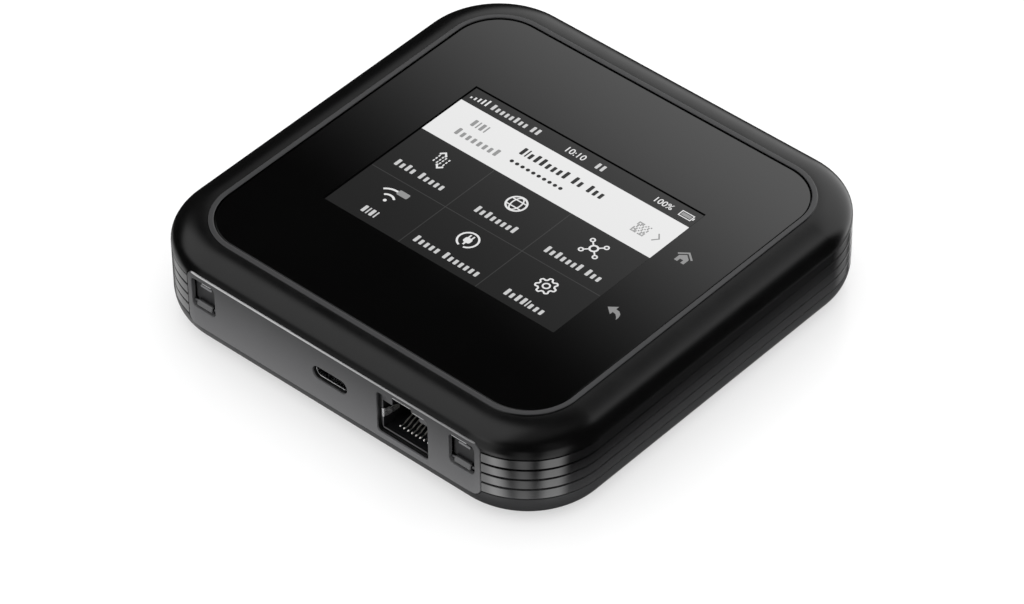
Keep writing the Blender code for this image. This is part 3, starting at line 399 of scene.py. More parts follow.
class Finish:
    """A material under construction: a Principled shader fed by procedural patterns."""

    def __init__(self, name, colour, roughness, metallic=0.0):
        self.material = bpy.data.materials.new(name)
        self.material.use_nodes = True
        self.tree = self.material.node_tree
        self.shader = self.tree.nodes["Principled BSDF"]
        self.colour = colour
        self.roughness = roughness
        self.set("Base Color", (*colour, 1))
        self.set("Roughness", roughness)
        self.set("Metallic", metallic)
        self.coordinates = self.node("ShaderNodeTexCoord")
        self.place = self.coordinates.outputs["Object"]
        self.relief = None

    def node(self, kind, inputs=(), **settings):
        return add_node(self.tree, kind, inputs, **settings)

    def set(self, name, value):
        self.shader.inputs[name].default_value = value
        return self

    def drive(self, name, source):
        """Lets a pattern decide one of the shader's inputs."""
        self.tree.links.new(source, self.shader.inputs[name])
        return self

    def noise(self, size, detail=2.0, stretch=None):
        """Noise whose features are about size across, or stretched to run one way."""
        place = self.place
        if stretch:
            place = self.node("ShaderNodeMapping", {"Vector": place, "Scale": stretch}).outputs["Vector"]
        inputs = {"Scale": 1 / size, "Detail": detail, "Vector": place}
        return self.node("ShaderNodeTexNoise", inputs).outputs["Fac"]

    def between(self, factor, low, high, start=0.3, end=0.7):
        """Low where factor is start and high where it is end."""
        inputs = {"Value": factor, "From Min": start, "From Max": end, "To Min": low, "To Max": high}
        return self.node("ShaderNodeMapRange", inputs).outputs["Result"]

    def axis(self, name, source="Object"):
        """One axis of a point's place (Object) or of the direction a face looks (Normal)."""
        parts = self.node("ShaderNodeSeparateXYZ", {"Vector": self.coordinates.outputs[source]})
        return parts.outputs[name]

    def beyond(self, name, start, end):
        """A mask: 0 up to start along an axis, and 1 from end on."""
        return self.between(self.axis(name), 0, 1, start, end)

    def before(self, name, start, end):
        """A mask: 1 up to start along an axis, and 0 from end on."""
        return self.between(self.axis(name), 1, 0, start, end)

    def both(self, *masks):
        """Where all the masks are."""
        total = masks[0]
        for mask in masks[1:]:
            total = math_node(self.tree, "MULTIPLY", total, mask)
        return total

    def mix(self, factor, first, second):
        """A colour between two colours, each a value or an output."""
        node = self.node("ShaderNodeMix", {"Factor": factor}, data_type="RGBA")
        for name, colour in (("A", first), ("B", second)):
            target = [s for s in node.inputs if s.name == name and s.type == "RGBA"][0]
            if isinstance(colour, bpy.types.NodeSocket):
                self.tree.links.new(colour, target)
            else:
                target.default_value = (*colour, 1)
        return [s for s in node.outputs if s.type == "RGBA"][0]

    def blend_colour(self, mask, colour):
        """Lays another colour over the present one where the mask is."""
        socket = self.shader.inputs["Base Color"]
        present = socket.links[0].from_socket if socket.is_linked else self.colour
        return self.drive("Base Color", self.mix(mask, present, colour))

    def vary_colour(self, size, amount, detail=3.0, stretch=None):
        """Lightens and darkens the colour in patches about size across."""
        low = [c * (1 - amount) for c in self.colour]
        high = [c * (1 + amount) for c in self.colour]
        factor = self.between(self.noise(size, detail, stretch), 0, 1)
        return self.drive("Base Color", self.mix(factor, low, high))

    def vary_roughness(self, size, amount, detail=3.0, stretch=None):
        low = max(self.roughness - amount, 0.02)
        high = min(self.roughness + amount, 1)
        return self.drive("Roughness", self.between(self.noise(size, detail, stretch), low, high))

    def bump(self, height, depth):
        """Adds relief, depth deep, from a 0 to 1 pattern."""
        inputs = {"Distance": depth, "Strength": 1, "Height": height}
        if self.relief:
            inputs["Normal"] = self.relief
        self.relief = self.node("ShaderNodeBump", inputs).outputs["Normal"]
        return self.drive("Normal", self.relief)

    def grained(self, grain=GRAIN, amount=0.025):
        """The last step of a moulded or painted finish: its fine texture."""
        self.vary_roughness(6 * MM, amount)
        return self.bump(self.noise(grain, 3), 0.0035 * MM).material


def satin_plastic(name, colour, roughness, grain=GRAIN, sheen=0.5):
    """Moulded plastic with a fine spark-eroded grain."""
    made = Finish(name, colour, roughness).set("Specular IOR Level", sheen)
    return made.vary_colour(9 * MM, 0.06).grained(grain)


def gloss_plastic(name, colour, roughness, sheen=0.5):
    """Polished plastic with a trace of flow marks and wear, and painted light greying it towards the foot.
    """
    made = Finish(name, colour, roughness).set("Specular IOR Level", sheen)
    made.vary_colour(12 * MM, 0.05)
    # Painted light: the colour is lighter towards the foot, standing in for light from the floor.
    made.blend_colour(made.before("Z", BAND_LOW, BAND_HIGH - STRIP_PITCH), (0.036, 0.036, 0.037))
    made.vary_roughness(3 * MM, 0.03, 4)
    return made.bump(made.noise(2.5 * MM, 1), 0.001 * MM).material


def housing_plastic():
    """The satin black of the top housing, with a painted highlight greying the rim round the glass."""
    made = Finish("housing_plastic", BLACK, 0.22).set("Specular IOR Level", 0.25)
    made.vary_colour(9 * MM, 0.06)
    # Painted highlight: the flat rim round the glass is coloured greyer for the light it catches.
    rim = made.beyond("Z", SHOULDER_TOP + 0.05 * MM, BODY_TOP - 0.1 * MM)
    return made.blend_colour(rim, (0.034, 0.034, 0.035)).grained()


def shell_plastic():
    """The satin plastic of the bottom shell, with grained sides and painted shade darkening its underside.
    """
    made = Finish("shell_plastic", (0.033, 0.033, 0.034), 0.32).set("Specular IOR Level", 0.1)
    made.vary_colour(9 * MM, 0.06)
    # Painted shade: faces that look downwards are coloured darker.
    under = made.between(made.axis("Z", "Normal"), 0, 1, -0.75, -0.95)
    return made.blend_colour(under, (0.007, 0.007, 0.0073)).grained()


def painted_panel():
    """Grey paint on a black faceplate: a painted floor reflection lightens its foot, painted shade blackens
    the USB and jack openings and a painted highlight runs along its top edge.
    """
    made = Finish("painted_panel", (0.033, 0.033, 0.0345), 0.4)
    made.vary_colour(9 * MM, 0.04)
    # Painted reflection: the paint grows lighter towards the panel's foot, where it would reflect the
    # floor.
    made.blend_colour(made.before("Z", PANEL_LOW.z, PANEL_HIGH.z), (0.112, 0.112, 0.115))
    left = -10 * MM
    right = 28 * MM
    # Painted highlight along the top edge, dimmer towards the ends.
    top_edge_highlight = made.beyond("Z", PANEL_HIGH.z - 0.15 * MM, PANEL_HIGH.z - 0.1 * MM)
    along = made.between(made.axis("X"), 1, 0.35, left, 36 * MM)
    made.blend_colour(made.both(top_edge_highlight, along), (0.36, 0.36, 0.365))
    # Painted shade: the walls inside the USB and jack openings are coloured black.
    inside = made.beyond("Y", PANEL_LOW.y + 0.38 * MM, PANEL_LOW.y + 0.45 * MM)
    ports = made.both(made.beyond("X", left, left + 0.1 * MM), made.before("X", right, right + 0.1 * MM))
    return made.blend_colour(made.both(inside, ports), (0.002, 0.002, 0.002)).grained(amount=0.03)


def plated_metal(name, colour, roughness, stretch=(1, 1, 6)):
    """Plated sheet with fine rolling lines."""
    made = Finish(name, colour, roughness, 1.0)
    made.vary_colour(1.2 * MM, 0.06, 3, stretch)
    made.vary_roughness(0.5 * MM, 0.06, 3, stretch)
    return made.bump(made.noise(0.12 * MM, 2, stretch), 0.0015 * MM).material


def flap_plastic():
    """Satin black, with the hinge barrel painted like the faceplate and a painted highlight on the lip."""
    made = Finish("flap_plastic", (0.012, 0.012, 0.013), 0.42)
    made.vary_colour(9 * MM, 0.06)
    barrel = made.before("Z", HINGE_Z + 0.7 * MM, HINGE_Z + 0.75 * MM)
    front = made.before("Y", HINGE_Y - 0.2 * MM, HINGE_Y - 0.15 * MM)
    made.blend_colour(made.both(barrel, front), (0.085, 0.085, 0.0875))
    # Painted highlight: the front of the raised lip is coloured lighter.
    lip = made.beyond("Z", FLAP_LIP_Z - 0.4 * MM, FLAP_LIP_Z - 0.35 * MM)
    lip_highlight_front = made.before("Y", FLAP_FRONT - 0.15 * MM, FLAP_FRONT - 0.1 * MM)
    made.blend_colour(made.both(lip, lip_highlight_front), (0.16, 0.16, 0.165))
    return made.grained(0.2 * MM)


def contact_metal():
    """Worn plating on sprung contacts, with a painted highlight at their front tips."""
    made = Finish("contact_plating", (0.3, 0.29, 0.27), 0.35, 0.7)
    tip = JACK_LOW.y + 2.5 * MM
    # Painted highlight: the front tips are coloured near white.
    made.blend_colour(made.before("Y", tip, tip + 0.2 * MM), (1, 0.98, 0.94))
    made.vary_roughness(0.4 * MM, 0.06)
    return made.bump(made.noise(0.1 * MM, 2), 0.001 * MM).material


def soft_rubber(name, colour, roughness, grain):
    made = Finish(name, colour, roughness).vary_colour(2 * MM, 0.12)
    return made.bump(made.noise(grain, 4), 0.02 * MM).material


def cover_glass():
    """Black-backed glass with the faintest smudges."""
    made = Finish("cover_glass", (0.0006, 0.0006, 0.00062), 0.03).set("IOR", 1.5)
    return made.vary_colour(20 * MM, 0.2).vary_roughness(14 * MM, 0.008, 4).material


def circuit_board():
    """Solder mask over copper tracks and pads."""
    made = Finish("circuit_board", (0.012, 0.032, 0.022), 0.42)
    inputs = {"Scale": 1 / (3 * MM), "Mortar Size": 0.05, "Vector": made.place}
    inputs |= {"Color1": (0, 0, 0, 1), "Color2": (0.25, 0.25, 0.25, 1), "Mortar": (1, 1, 1, 1)}
    tracks = made.node("ShaderNodeTexBrick", inputs).outputs["Color"]
    made.blend_colour(tracks, (0.02, 0.06, 0.04))
    return made.vary_roughness(2 * MM, 0.06).bump(tracks, 0.02 * MM).material


def printed_film(name, colour, roughness, depth=0.01 * MM):
    """A thin wrap or film with slight ripples."""
    made = Finish(name, colour, roughness).vary_colour(4 * MM, 0.08).vary_roughness(5 * MM, 0.08)
    return made.bump(made.noise(3 * MM, 2), depth).material


def lit_pixels(name, level, sheen=0.3):
    """A lit area of the display under the cover glass; level is the light it gives."""
    made = Finish(name, (0.0005, 0.0005, 0.0005), 0.03).set("Specular IOR Level", sheen)
    inputs = {"Scale": 1 / (0.6 * MM), "Distortion": 0, "Vector": made.place}
    stripes = made.node("ShaderNodeTexWave", inputs).outputs["Fac"]
    made.drive("Emission Color", made.mix(stripes, [0.97 * level] * 3, [1.03 * level] * 3))
    return made.set("Emission Strength", 1).material


BLACK = (0.0013, 0.0013, 0.00135)
FINISHES = {
    "satin_black": satin_plastic("satin_black_plastic", BLACK, 0.22, sheen=0.25),
    "housing": housing_plastic(),
    "shell": shell_plastic(),
    "rear_cover": satin_plastic("rear_cover_plastic", (0.01, 0.01, 0.0105), 0.4, 0.3 * MM),
    "gloss_black": gloss_plastic("gloss_black_plastic", (0.004, 0.004, 0.0042), 0.14, sheen=1.0),
    "panel_grey": painted_panel(),
    # Painted highlight for the beads along the openings' upper edges.
    "bright_edge": satin_plastic("painted_edge_highlight", (0.34, 0.34, 0.345), 0.35),
    "cover_black": flap_plastic(),
    "cover_glass": cover_glass(),
    "foam": soft_rubber("gasket_foam", (0.012, 0.012, 0.012), 0.95, 0.3 * MM),
    "display": printed_film("display_layers", (0.05, 0.052, 0.058), 0.2),
    "white_film": printed_film("white_reflector_film", (0.62, 0.62, 0.63), 0.5),
    "flex_film": printed_film("amber_polyimide", (0.36, 0.17, 0.035), 0.35),
    "rubber": soft_rubber("black_rubber", (0.014, 0.014, 0.014), 0.8, 0.5 * MM),
    "steel": plated_metal("blackened_steel", (0.12, 0.12, 0.125), 0.35),
    "jack_metal": plated_metal("jack_metal", (0.21, 0.21, 0.215), 0.35),
    "nickel": plated_metal("nickel_plate", (0.6, 0.6, 0.605), 0.28),
    "gold": contact_metal(),
    "jack_plastic": satin_plastic("jack_plastic", (0.006, 0.006, 0.0065), 0.38, 0.1 * MM),
    "board": circuit_board(),
    "carrier": satin_plastic("antenna_carrier_plastic", (0.02, 0.02, 0.021), 0.5),
    "aluminium": plated_metal("aluminium_sheet", (0.72, 0.72, 0.73), 0.4, (1, 8, 1)),
    "thermal_pad": soft_rubber("thermal_pad", (0.16, 0.3, 0.42), 0.85, 0.4 * MM),
    "battery_wrap": printed_film("battery_wrap", (0.02, 0.02, 0.022), 0.4, 0.02 * MM),
    "card_white": printed_film("card_plastic", (0.6, 0.6, 0.61), 0.45),
}


# Case


def shoulder_profile():
    """(inset, height) of the rounded shoulder, upwards."""
    rise = SHOULDER_TOP - SHOULDER_START
    points = []
    steps = 2 * CURVE_STEPS
    for step in range(steps + 1):
        angle = math.pi / 2 * step / steps
        across = 1 - math.cos(angle) ** (2 / SHOULDER_POWER)
        up = math.sin(angle) ** (2 / SHOULDER_POWER)
        points.append((SHOULDER_WIDTH * across, SHOULDER_START + rise * up))
    return points


def notch_shape(edge=EDGE):
    """The cutter that clears the port side for the panel, with a softened edge."""
    half_x = PANEL_HIGH.x + FIT
    half_z = (PANEL_HIGH.z - PANEL_LOW.z) / 2 + FIT
    middle = (0, (PANEL_HIGH.z + PANEL_LOW.z) / 2)
    layers = flared_layers(-BODY_HALF, -BODY_HALF + 2 * CAVITY_INSET, edge)
    return front_plate(half_x, half_z, PANEL_CORNER + FIT, layers, middle, 40)


def screw_posts(kind, radius, bottom, top, steps=32):
    """A round bar about every screw of one kind, between two heights."""
    places = [sum(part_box(node), Vector()) / 2 for node in frame["nodes"] if node.startswith(kind)]
    return [rod(radius, (x, y, bottom), (x, y, top), steps) for x, y, z in places]


def make_top_housing():
    """The upper shell: skirt, shoulder, lip, the glass's pocket and the roof under it."""
    edge = 0.14 * MM
    fillet = 0.1 * MM
    lip_outer = SHOULDER_WIDTH
    lip_inner = SHOULDER_WIDTH + LIP_WIDTH
    profile = [(edge, SKIRT_BOTTOM), (edge * 0.3, SKIRT_BOTTOM + edge * 0.3), (0, SKIRT_BOTTOM + edge)]
    profile += shoulder_profile()[:-1]
    profile += [(lip_outer - fillet, SHOULDER_TOP), (lip_outer, SHOULDER_TOP + fillet)]
    profile += arc((lip_outer + edge, BODY_TOP - edge), edge, 180, 90, EDGE_STEPS)
    profile += arc((lip_inner - edge, BODY_TOP - edge), edge, 90, 0, EDGE_STEPS)
    profile.append((lip_inner, POCKET_FLOOR))
    low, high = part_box("backlight_frame")
    half = (high - low) / 2 + Vector((0.5, 0.5, 0)) * MM
    middle = (low + high) / 2
    window = rounded_outline(half.x, half.y, 0.8 * MM, CORNER_STEPS, (middle.x, middle.y))
    inside = body_outline(CAVITY_INSET)
    rings = [level(top_outline(inset), z) for inset, z in profile]
    rings += [level(window, POCKET_FLOOR), level(window, CAVITY_TOP)]
    rings += [level(inside, CAVITY_TOP), level(inside, SKIRT_BOTTOM)]
    post_top = (CAVITY_TOP + POCKET_FLOOR) / 2
    post_bottom = SKIRT_BOTTOM - 2 * MM
    posts = screw_posts("case_screw", CASE_POST_RADIUS, post_bottom, post_top)
    posts += screw_posts("board_screw", BOARD_POST_RADIUS, post_bottom, post_top)
    shape = loft(rings, closed=True)
    case_piece(
        "top_shell", shape, "housing", "satin_black", "top_housing", joins=posts, cuts=[notch_shape()]
    )


def strip_profile():
    """(inset, height) down the outside of the ridge band, from its bottom to its top."""
    points = []
    for strip in range(STRIP_COUNT):
        low = BAND_LOW - SEAM + strip * STRIP_PITCH + (SEAM if strip == 0 else GROOVE_WIDTH / 2)
        high = BAND_LOW - SEAM + (strip + 1) * STRIP_PITCH
        high -= SEAM if strip == STRIP_COUNT - 1 else GROOVE_WIDTH / 2
        if strip:
            points.append((GROOVE_DEPTH, low))
        points += [(EDGE, low), (0.3 * EDGE, low + 0.3 * EDGE), (0, low + EDGE)]
        points += [(0, high - EDGE), (0.3 * EDGE, high - 0.3 * EDGE), (EDGE, high)]
        if strip < STRIP_COUNT - 1:
            points.append((GROOVE_DEPTH, high))
    return points


def button_layout():
    """Half width, half height and (x, z) centre of the power button's face, seen from outside."""
    low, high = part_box("power_button")
    half_x = (high.x - low.x) / 2 - 0.8 * MM
    half_z = (high.z - low.z) / 2 - 0.5 * MM
    return half_x, half_z, (-(low.x + high.x) / 2, (low.z + high.z) / 2)


def mirrored_to_back(shape):
    """Turns a shape made for the port side to the opposite side."""
    shape.transform(Matrix.Rotation(math.pi, 4, "Z"))
    return shape


def make_ridge_band():
    """Four strips with grooves between them, cut away for the panel and the power button."""
    profile = strip_profile() + [(BAND_WALL, BAND_HIGH), (BAND_WALL, BAND_LOW)]
    shape = loft([level(body_outline(inset), z) for inset, z in profile], closed=True)
    half_x, half_z, centre = button_layout()
    layers = flared_layers(-BODY_HALF, -BODY_HALF + 2 * BAND_WALL, 0.15 * MM)
    hole = front_plate(half_x + FIT, half_z + FIT, half_z + FIT, layers, centre)
    cuts = [notch_shape(0.08 * MM), mirrored_to_back(hole)]
    case_piece("ridge_strips", shape, "gloss_black", "gloss_black", "ridge_band", cuts=cuts)


def make_power_button():
    """A pill with a rounded face, kept in by a flange behind the wall."""
    half_x, half_z, centre = button_layout()
    low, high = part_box("power_button")
    wide = (high.x - low.x) / 2
    tall = (high.z - low.z) / 2
    back = -low.y
    layers = rounded_layers(-high.y, back - 0.2 * MM, 0.35 * MM)
    pill = front_plate(half_x, half_z, half_z, layers, centre, 8)
    flange_layers = [(0.1 * MM, back - 0.75 * MM), (0, back - 0.65 * MM), (0, back)]
    flange = front_plate(wide, tall, tall, flange_layers, centre, 8)
    button = object_of("power_key", mirrored_to_back(pill), FINISHES["gloss_black"])
    carve(button, [mirrored_to_back(flange)], "UNION")
    add_piece(soften(button), "power_button", "gloss_black", "power_button")


def underside_profile():
    """(inset, height) of the rounded bottom edge, upwards."""
    rise = SHELL_TOP - BODY_BOTTOM
    points = []
    for step in range(CURVE_STEPS + 1):
        angle = math.pi / 2 * step / CURVE_STEPS
        height = BODY_BOTTOM + rise * (1 - math.cos(angle))
        if height < SHELL_TOP - EDGE:
            points.append((UNDER_WIDTH * (1 - math.sin(angle)), height))
    return points + [(0.01 * MM, SHELL_TOP - EDGE), (0.3 * EDGE, SHELL_TOP - 0.3 * EDGE), (EDGE, SHELL_TOP)]


def bay_outline(inset):
    """The battery bay's outline."""
    low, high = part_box("battery_tray")
    half_x = (high.x - low.x) / 2 - inset
    half_y = (high.y - low.y) / 2 - inset
    return rounded_outline(half_x, half_y, BAY_CORNER - inset, CORNER_STEPS, (0, (low.y + high.y) / 2))


def make_bottom_shell():
    """The lower shell with the battery bay's opening, the cover's recess and the feet's pockets."""
    inside = body_outline(CAVITY_INSET)
    opening = bay_outline(0.9 * MM)
    rings = [level(body_outline(inset), z) for inset, z in underside_profile()]
    rings += [level(inside, SHELL_TOP), level(inside, CAVITY_FLOOR)]
    rings += [level(opening, CAVITY_FLOOR), level(opening, BODY_BOTTOM)]
    below = BODY_BOTTOM - THROUGH
    half = COVER_HIGH.x + 2 * FIT
    corner = COVER_CORNER + 2 * FIT
    outline = rounded_outline(half, half, corner, CORNER_STEPS)
    wide = rounded_outline(half + EDGE, half + EDGE, corner + EDGE, CORNER_STEPS)
    recess = [level(wide, below), level(wide, BODY_BOTTOM)]
    recess += [level(outline, BODY_BOTTOM + EDGE), level(outline, COVER_HIGH.z + FIT)]
    notch_radius = 6 * MM
    notch_y = COVER_LOW.y - notch_radius / 2
    cuts = [loft(recess), rod(notch_radius, (0, notch_y, below), (0, notch_y, BODY_BOTTOM + 0.6 * MM), 64)]
    cuts += screw_posts("case_screw", FOOT_POCKET_RADIUS, below, BODY_BOTTOM + 0.4 * MM, 48)
    cuts += screw_posts("case_screw", SCREW_HEAD_RADIUS, below, CAVITY_FLOOR)
    cuts += screw_posts("case_screw", SCREW_HOLE_RADIUS, 0, 12 * MM)
    cuts.append(notch_shape())
    post_bottom = (BODY_BOTTOM + CAVITY_FLOOR) / 2
    posts = screw_posts("case_screw", CASE_POST_RADIUS, post_bottom, SCREW_POST_TOP)
    shape = loft(rings, closed=True)
    case_piece("bottom_case", shape, "shell", "satin_black", "bottom_shell", joins=posts, cuts=cuts)


def make_battery_cover():
    """The cover over the bay, with a rounded edge."""
    rim = 0.3 * MM
    rings = []
    for inset, z in arc((rim, COVER_LOW.z + rim), rim, 270, 180, EDGE_STEPS) + [(0, COVER_HIGH.z)]:
        half = COVER_HIGH.x - inset
        rings.append(level(rounded_outline(half, half, COVER_CORNER - inset, CORNER_STEPS), z))
    cover = object_of("rear_cover", loft(rings), FINISHES["rear_cover"])
    add_piece(soften(cover), "battery_cover", "satin_black", "battery_cover")


def make_feet():
    """Rubber feet with a rounded edge and a shallow dish."""
    rim = 0.35 * MM
    for place in ("front_left", "front_right", "back_left", "back_right"):
        low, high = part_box(f"foot_{place}")
        radius = (high.x - low.x) / 2
        profile = [(radius - 1.2 * MM, 0.12 * MM), (radius - 0.9 * MM, 0)]
        profile += arc((radius - rim, rim), rim, 270, 360, EDGE_STEPS)
        profile.append((radius, high.z - low.z))
        shape = turned(profile, ((low.x + high.x) / 2, (low.y + high.y) / 2, low.z))
        case_piece(f"rubber_foot_{place}", shape, "rubber", "rubber", f"foot_{place}")


# Display


def make_glass():
    """The cover glass, with a fine polished bevel."""
    inset = BODY_HALF - GLASS_HIGH.x
    profile = [(inset, GLASS_LOW.z)]
    profile += arc((inset + EDGE, SHOULDER_TOP - EDGE), EDGE, 180, 90, EDGE_STEPS)
    shape = loft([level(top_outline(inset), z) for inset, z in profile])
    case_piece("cover_glass_plate", shape, "cover_glass", "cover_glass", "display_glass")


LAYER = 0.012 * MM
ICON_LINE = 0.42  # in millimetres, like all of a Drawing's sizes
INK_LEVELS = {
    "border": lit_pixels("screen_border", 0.0006, sheen=0),
    "tile": lit_pixels("screen_tile", 0.0185),
    "status": lit_pixels("screen_status_bar", 0.007, sheen=0.4),
    "line": lit_pixels("screen_line", 0.05),
    "white": lit_pixels("screen_white", 0.8),
    "icon": lit_pixels("screen_icon", 0.78),
    "word": lit_pixels("screen_word", 0.6),
    "soft": lit_pixels("screen_soft_grey", 0.3),
    "key": lit_pixels("touch_key_grey", 0.26, sheen=0.5),
    "ink": lit_pixels("screen_ink", 0.02),
}


class Drawing:
    """Flat closed shapes on the glass, in millimetres from a centre on the screen."""

    def __init__(self, centre=(0, 0), layer=3):
        self.shape = bmesh.new()
        self.centre = Vector(centre)
        self.low = SHOULDER_TOP + layer * LAYER
        self.high = self.low + LAYER

    def loop(self, outline, height):
        """Vertices along an outline."""
        points = [SCREEN_CENTRE + (self.centre + Vector(place)) * MM for place in outline]
        return [self.shape.verts.new((point.x, point.y, height)) for point in points]

    def area(self, outline):
        """A filled shape with one outline."""
        low = self.loop(outline, self.low)
        high = self.loop(outline, self.high)
        self.shape.faces.new(list(reversed(low)))
        self.shape.faces.new(high)
        bridge(self.shape, low, high)
        return self

    def hoop(self, outer, inner):
        """The area between two outlines of equally many points."""
        sides = ((outer, self.low), (outer, self.high), (inner, self.high), (inner, self.low))
        loops = [self.loop(outline, height) for outline, height in sides]
        for first, second in zip(loops, loops[1:] + loops[:1]):
            bridge(self.shape, first, second)
        return self

    def bar(self, centre, half_x, half_y, radius=0.0):
        if radius:
            return self.area(rounded_outline(half_x, half_y, radius, 4, centre))
        x, y = centre
        low = (x - half_x, y - half_y)
        high = (x + half_x, y + half_y)
        return self.area((low, (high[0], low[1]), high, (low[0], high[1])))

    def disc(self, centre, radius):
        return self.area(arc(centre, radius, 0, 360, 32)[:-1])

    def ring(self, centre, radius, width):
        outer = arc(centre, radius + width / 2, 0, 360, 40)[:-1]
        return self.hoop(outer, arc(centre, radius - width / 2, 0, 360, 40)[:-1])

    def stroke(self, path, width, closed=False):
        """A line of one width with mitred bends."""
        path = [Vector(p) for p in path]
        left = []
        right = []
        count = len(path)
        for index, here in enumerate(path):
            before = path[index - 1] if index or closed else here
            after = path[(index + 1) % count] if index < count - 1 or closed else here
            first = (here - before).normalized() if here != before else (after - here).normalized()
            second = (after - here).normalized() if here != after else first
            across = Vector((-(first.y + second.y), first.x + second.x)).normalized()
            reach = width / 2 / max(across.dot(Vector((-first.y, first.x))), 0.3)
            left.append(here + across * reach)
            right.append(here - across * reach)
        if closed:
            return self.hoop(right, left)
        return self.area(right + list(reversed(left)))

    def sweep(self, centre, radius, width, start, end):
        """Part of a ring."""
        return self.stroke(arc(centre, radius, start, end, 20), width)

    def word(self, pattern, centre, height, weight=0.72):
        """Stands for a word: one small block for each letter, tall or short, and no lettering.

        In the pattern, x is a short letter, h a tall one, i a thin one and a space a gap.
        """
        widths = {"x": 0.95, "h": 1.0, "i": 0.42, " ": 0.6}
        left = centre[0] - sum(widths[letter] for letter in pattern) * height * weight / 2
        for letter in pattern:
            advance = widths[letter] * height * weight
            tall = height / 2 * (1 if letter in "hi" else 0.74)
            if letter != " ":
                middle = (left + advance / 2, centre[1] - height / 2 + tall)
                self.bar(middle, advance * 0.27, tall, advance * 0.13)
            left += advance
        return self

    def finish(self, name, ink):
        bmesh.ops.recalc_face_normals(self.shape, faces=self.shape.faces)
        return add_piece(object_of(name, self.shape, INK_LEVELS[ink]), "case", "display")


def make_screen():
    """The display's picture, in thin layers on the glass."""
    width, height = SCREEN_HALF / MM
    band_top = 17.7
    band_bottom = 5.95
    columns = (-10.25, 9.7)
    row_line = -8.65
    line = 0.08  # half the width of a line between tiles
    gap = 0.01
    border = 0.26
    around = Drawing((-border, border), 0).bar((0, 0), width + border, height + border)
    around.finish("screen_border", "border")
    Drawing(layer=1).bar((0, 0), width, height).finish("screen_background", "tile")
    for name, ink, low, high in (
        ("screen_status_bar", "status", band_top + gap, height - gap),
        ("screen_name_band", "white", band_bottom, band_top),
    ):
        Drawing(layer=2).bar((0, (low + high) / 2), width, (high - low) / 2).finish(name, ink)
    lines = Drawing(layer=2)
    for x in columns:
        lines.bar((x, (band_bottom - height) / 2), line, (band_bottom + height) / 2 - 2 * gap)
    edges = (-width, *columns, width)
    for left, right in zip(edges, edges[1:]):
        lines.bar(((left + right) / 2, row_line), (right - left) / 2 - line - gap, line)
    lines.finish("screen_tile_lines", "line")
    make_status_bar()
    make_band_marks()
    make_tile_icons()
    make_tile_labels()
    make_touch_keys()


def make_status_bar():
    """Signal bars, an unnamed network, the clock, the charge and the battery symbol."""
    row = (0, 20.05)
    letters = 1.75
    marks = Drawing(row)
    for index in range(5):
        tall = 0.5 + 0.36 * index
        marks.bar((-28.6 + 0.95 * index, tall / 2 - 0.85), 0.2, tall / 2)
    marks.stroke([(25.6, -0.75), (28.5, -0.75), (28.5, 0.75), (25.6, 0.75)], 0.22, closed=True)
    marks.bar((28.85, 0), 0.14, 0.35).finish("screen_status_marks", "icon")
    Drawing(row).bar((27.05, 0), 1.15, 0.42).finish("screen_battery_charge", "soft")
    Drawing(row).word("hxxxxhxx hh", (-17.2, 0), letters).finish("screen_network_words", "word")
    Drawing(row).word("hh", (5, 0), letters).finish("screen_clock_words", "word")
    add_digits("10:10", (-1.5, 19.2), 2.35, "screen_clock_digits")
    add_digits("100%", (21.3, 19.2), 2.2, "screen_charge_digits")


def add_digits(text, place, height, name):
    """Plain numerals, made flat from the built-in type."""
    curve = bpy.data.curves.new(name, "FONT")
    curve.body = text
    curve.size = height * MM
    curve.align_x = "CENTER"
    curve.extrude = LAYER / 2
    curve.resolution_u = 4
    curve.offset = 0.02 * MM
    passing = bpy.data.objects.new("passing", curve)
    bpy.context.scene.collection.objects.link(passing)
    graph = bpy.context.evaluated_depsgraph_get()
    mesh = bpy.data.meshes.new_from_object(passing.evaluated_get(graph))
    bpy.data.objects.remove(passing)
    bpy.data.curves.remove(curve)
    foot = SCREEN_CENTRE + Vector(place) * MM
    mesh.transform(Matrix.Translation((foot.x, foot.y, SHOULDER_TOP + 3.5 * LAYER)))
    mesh.name = name
    mesh.materials.clear()
    mesh.materials.append(INK_LEVELS["icon"])
    obj = bpy.data.objects.new(name, mesh)
    bpy.context.scene.collection.objects.link(obj)
    return add_piece(obj, "case", "display")


def make_band_marks():
    """Two captions, the network's name and key as blocks and dots, a code and a chevron."""
    captions = Drawing().word("hihi", (-21.4, 13.9), 2.1).word("hxxxxxxh", (-18.5, 10), 2.1)
    captions.finish("screen_captions", "soft")
    name = Drawing().word("hixhhxxxh hx hxx", (0.5, 13.8), 2.25, 0.68)
    for index in range(10):
        name.disc((-9.53 + 1.41 * index, 10.1), 0.45)
    name.finish("screen_network_name", "ink")
    code = Drawing((22.9, 11.3))
    cell = 0.36
    size = 9
    for row in range(size):
        for column in range(size):
            finder = (row < 3 or row > 5) and (column < 3 or column > 5) and not (row > 5 and column > 5)
            ring = row % 6 != 1 or column % 6 != 1
            if (finder and ring) or (not finder and (row * 5 + column * 3) % 7 < 3):
                x = (column - size / 2 + 0.5) * cell
                y = (row - size / 2 + 0.5) * cell
                code.bar((x, y), cell * 0.44, cell * 0.44)
    code.stroke([(3.6, 1.2), (4.6, 0), (3.6, -1.2)], 0.3).finish("screen_code_block", "soft")


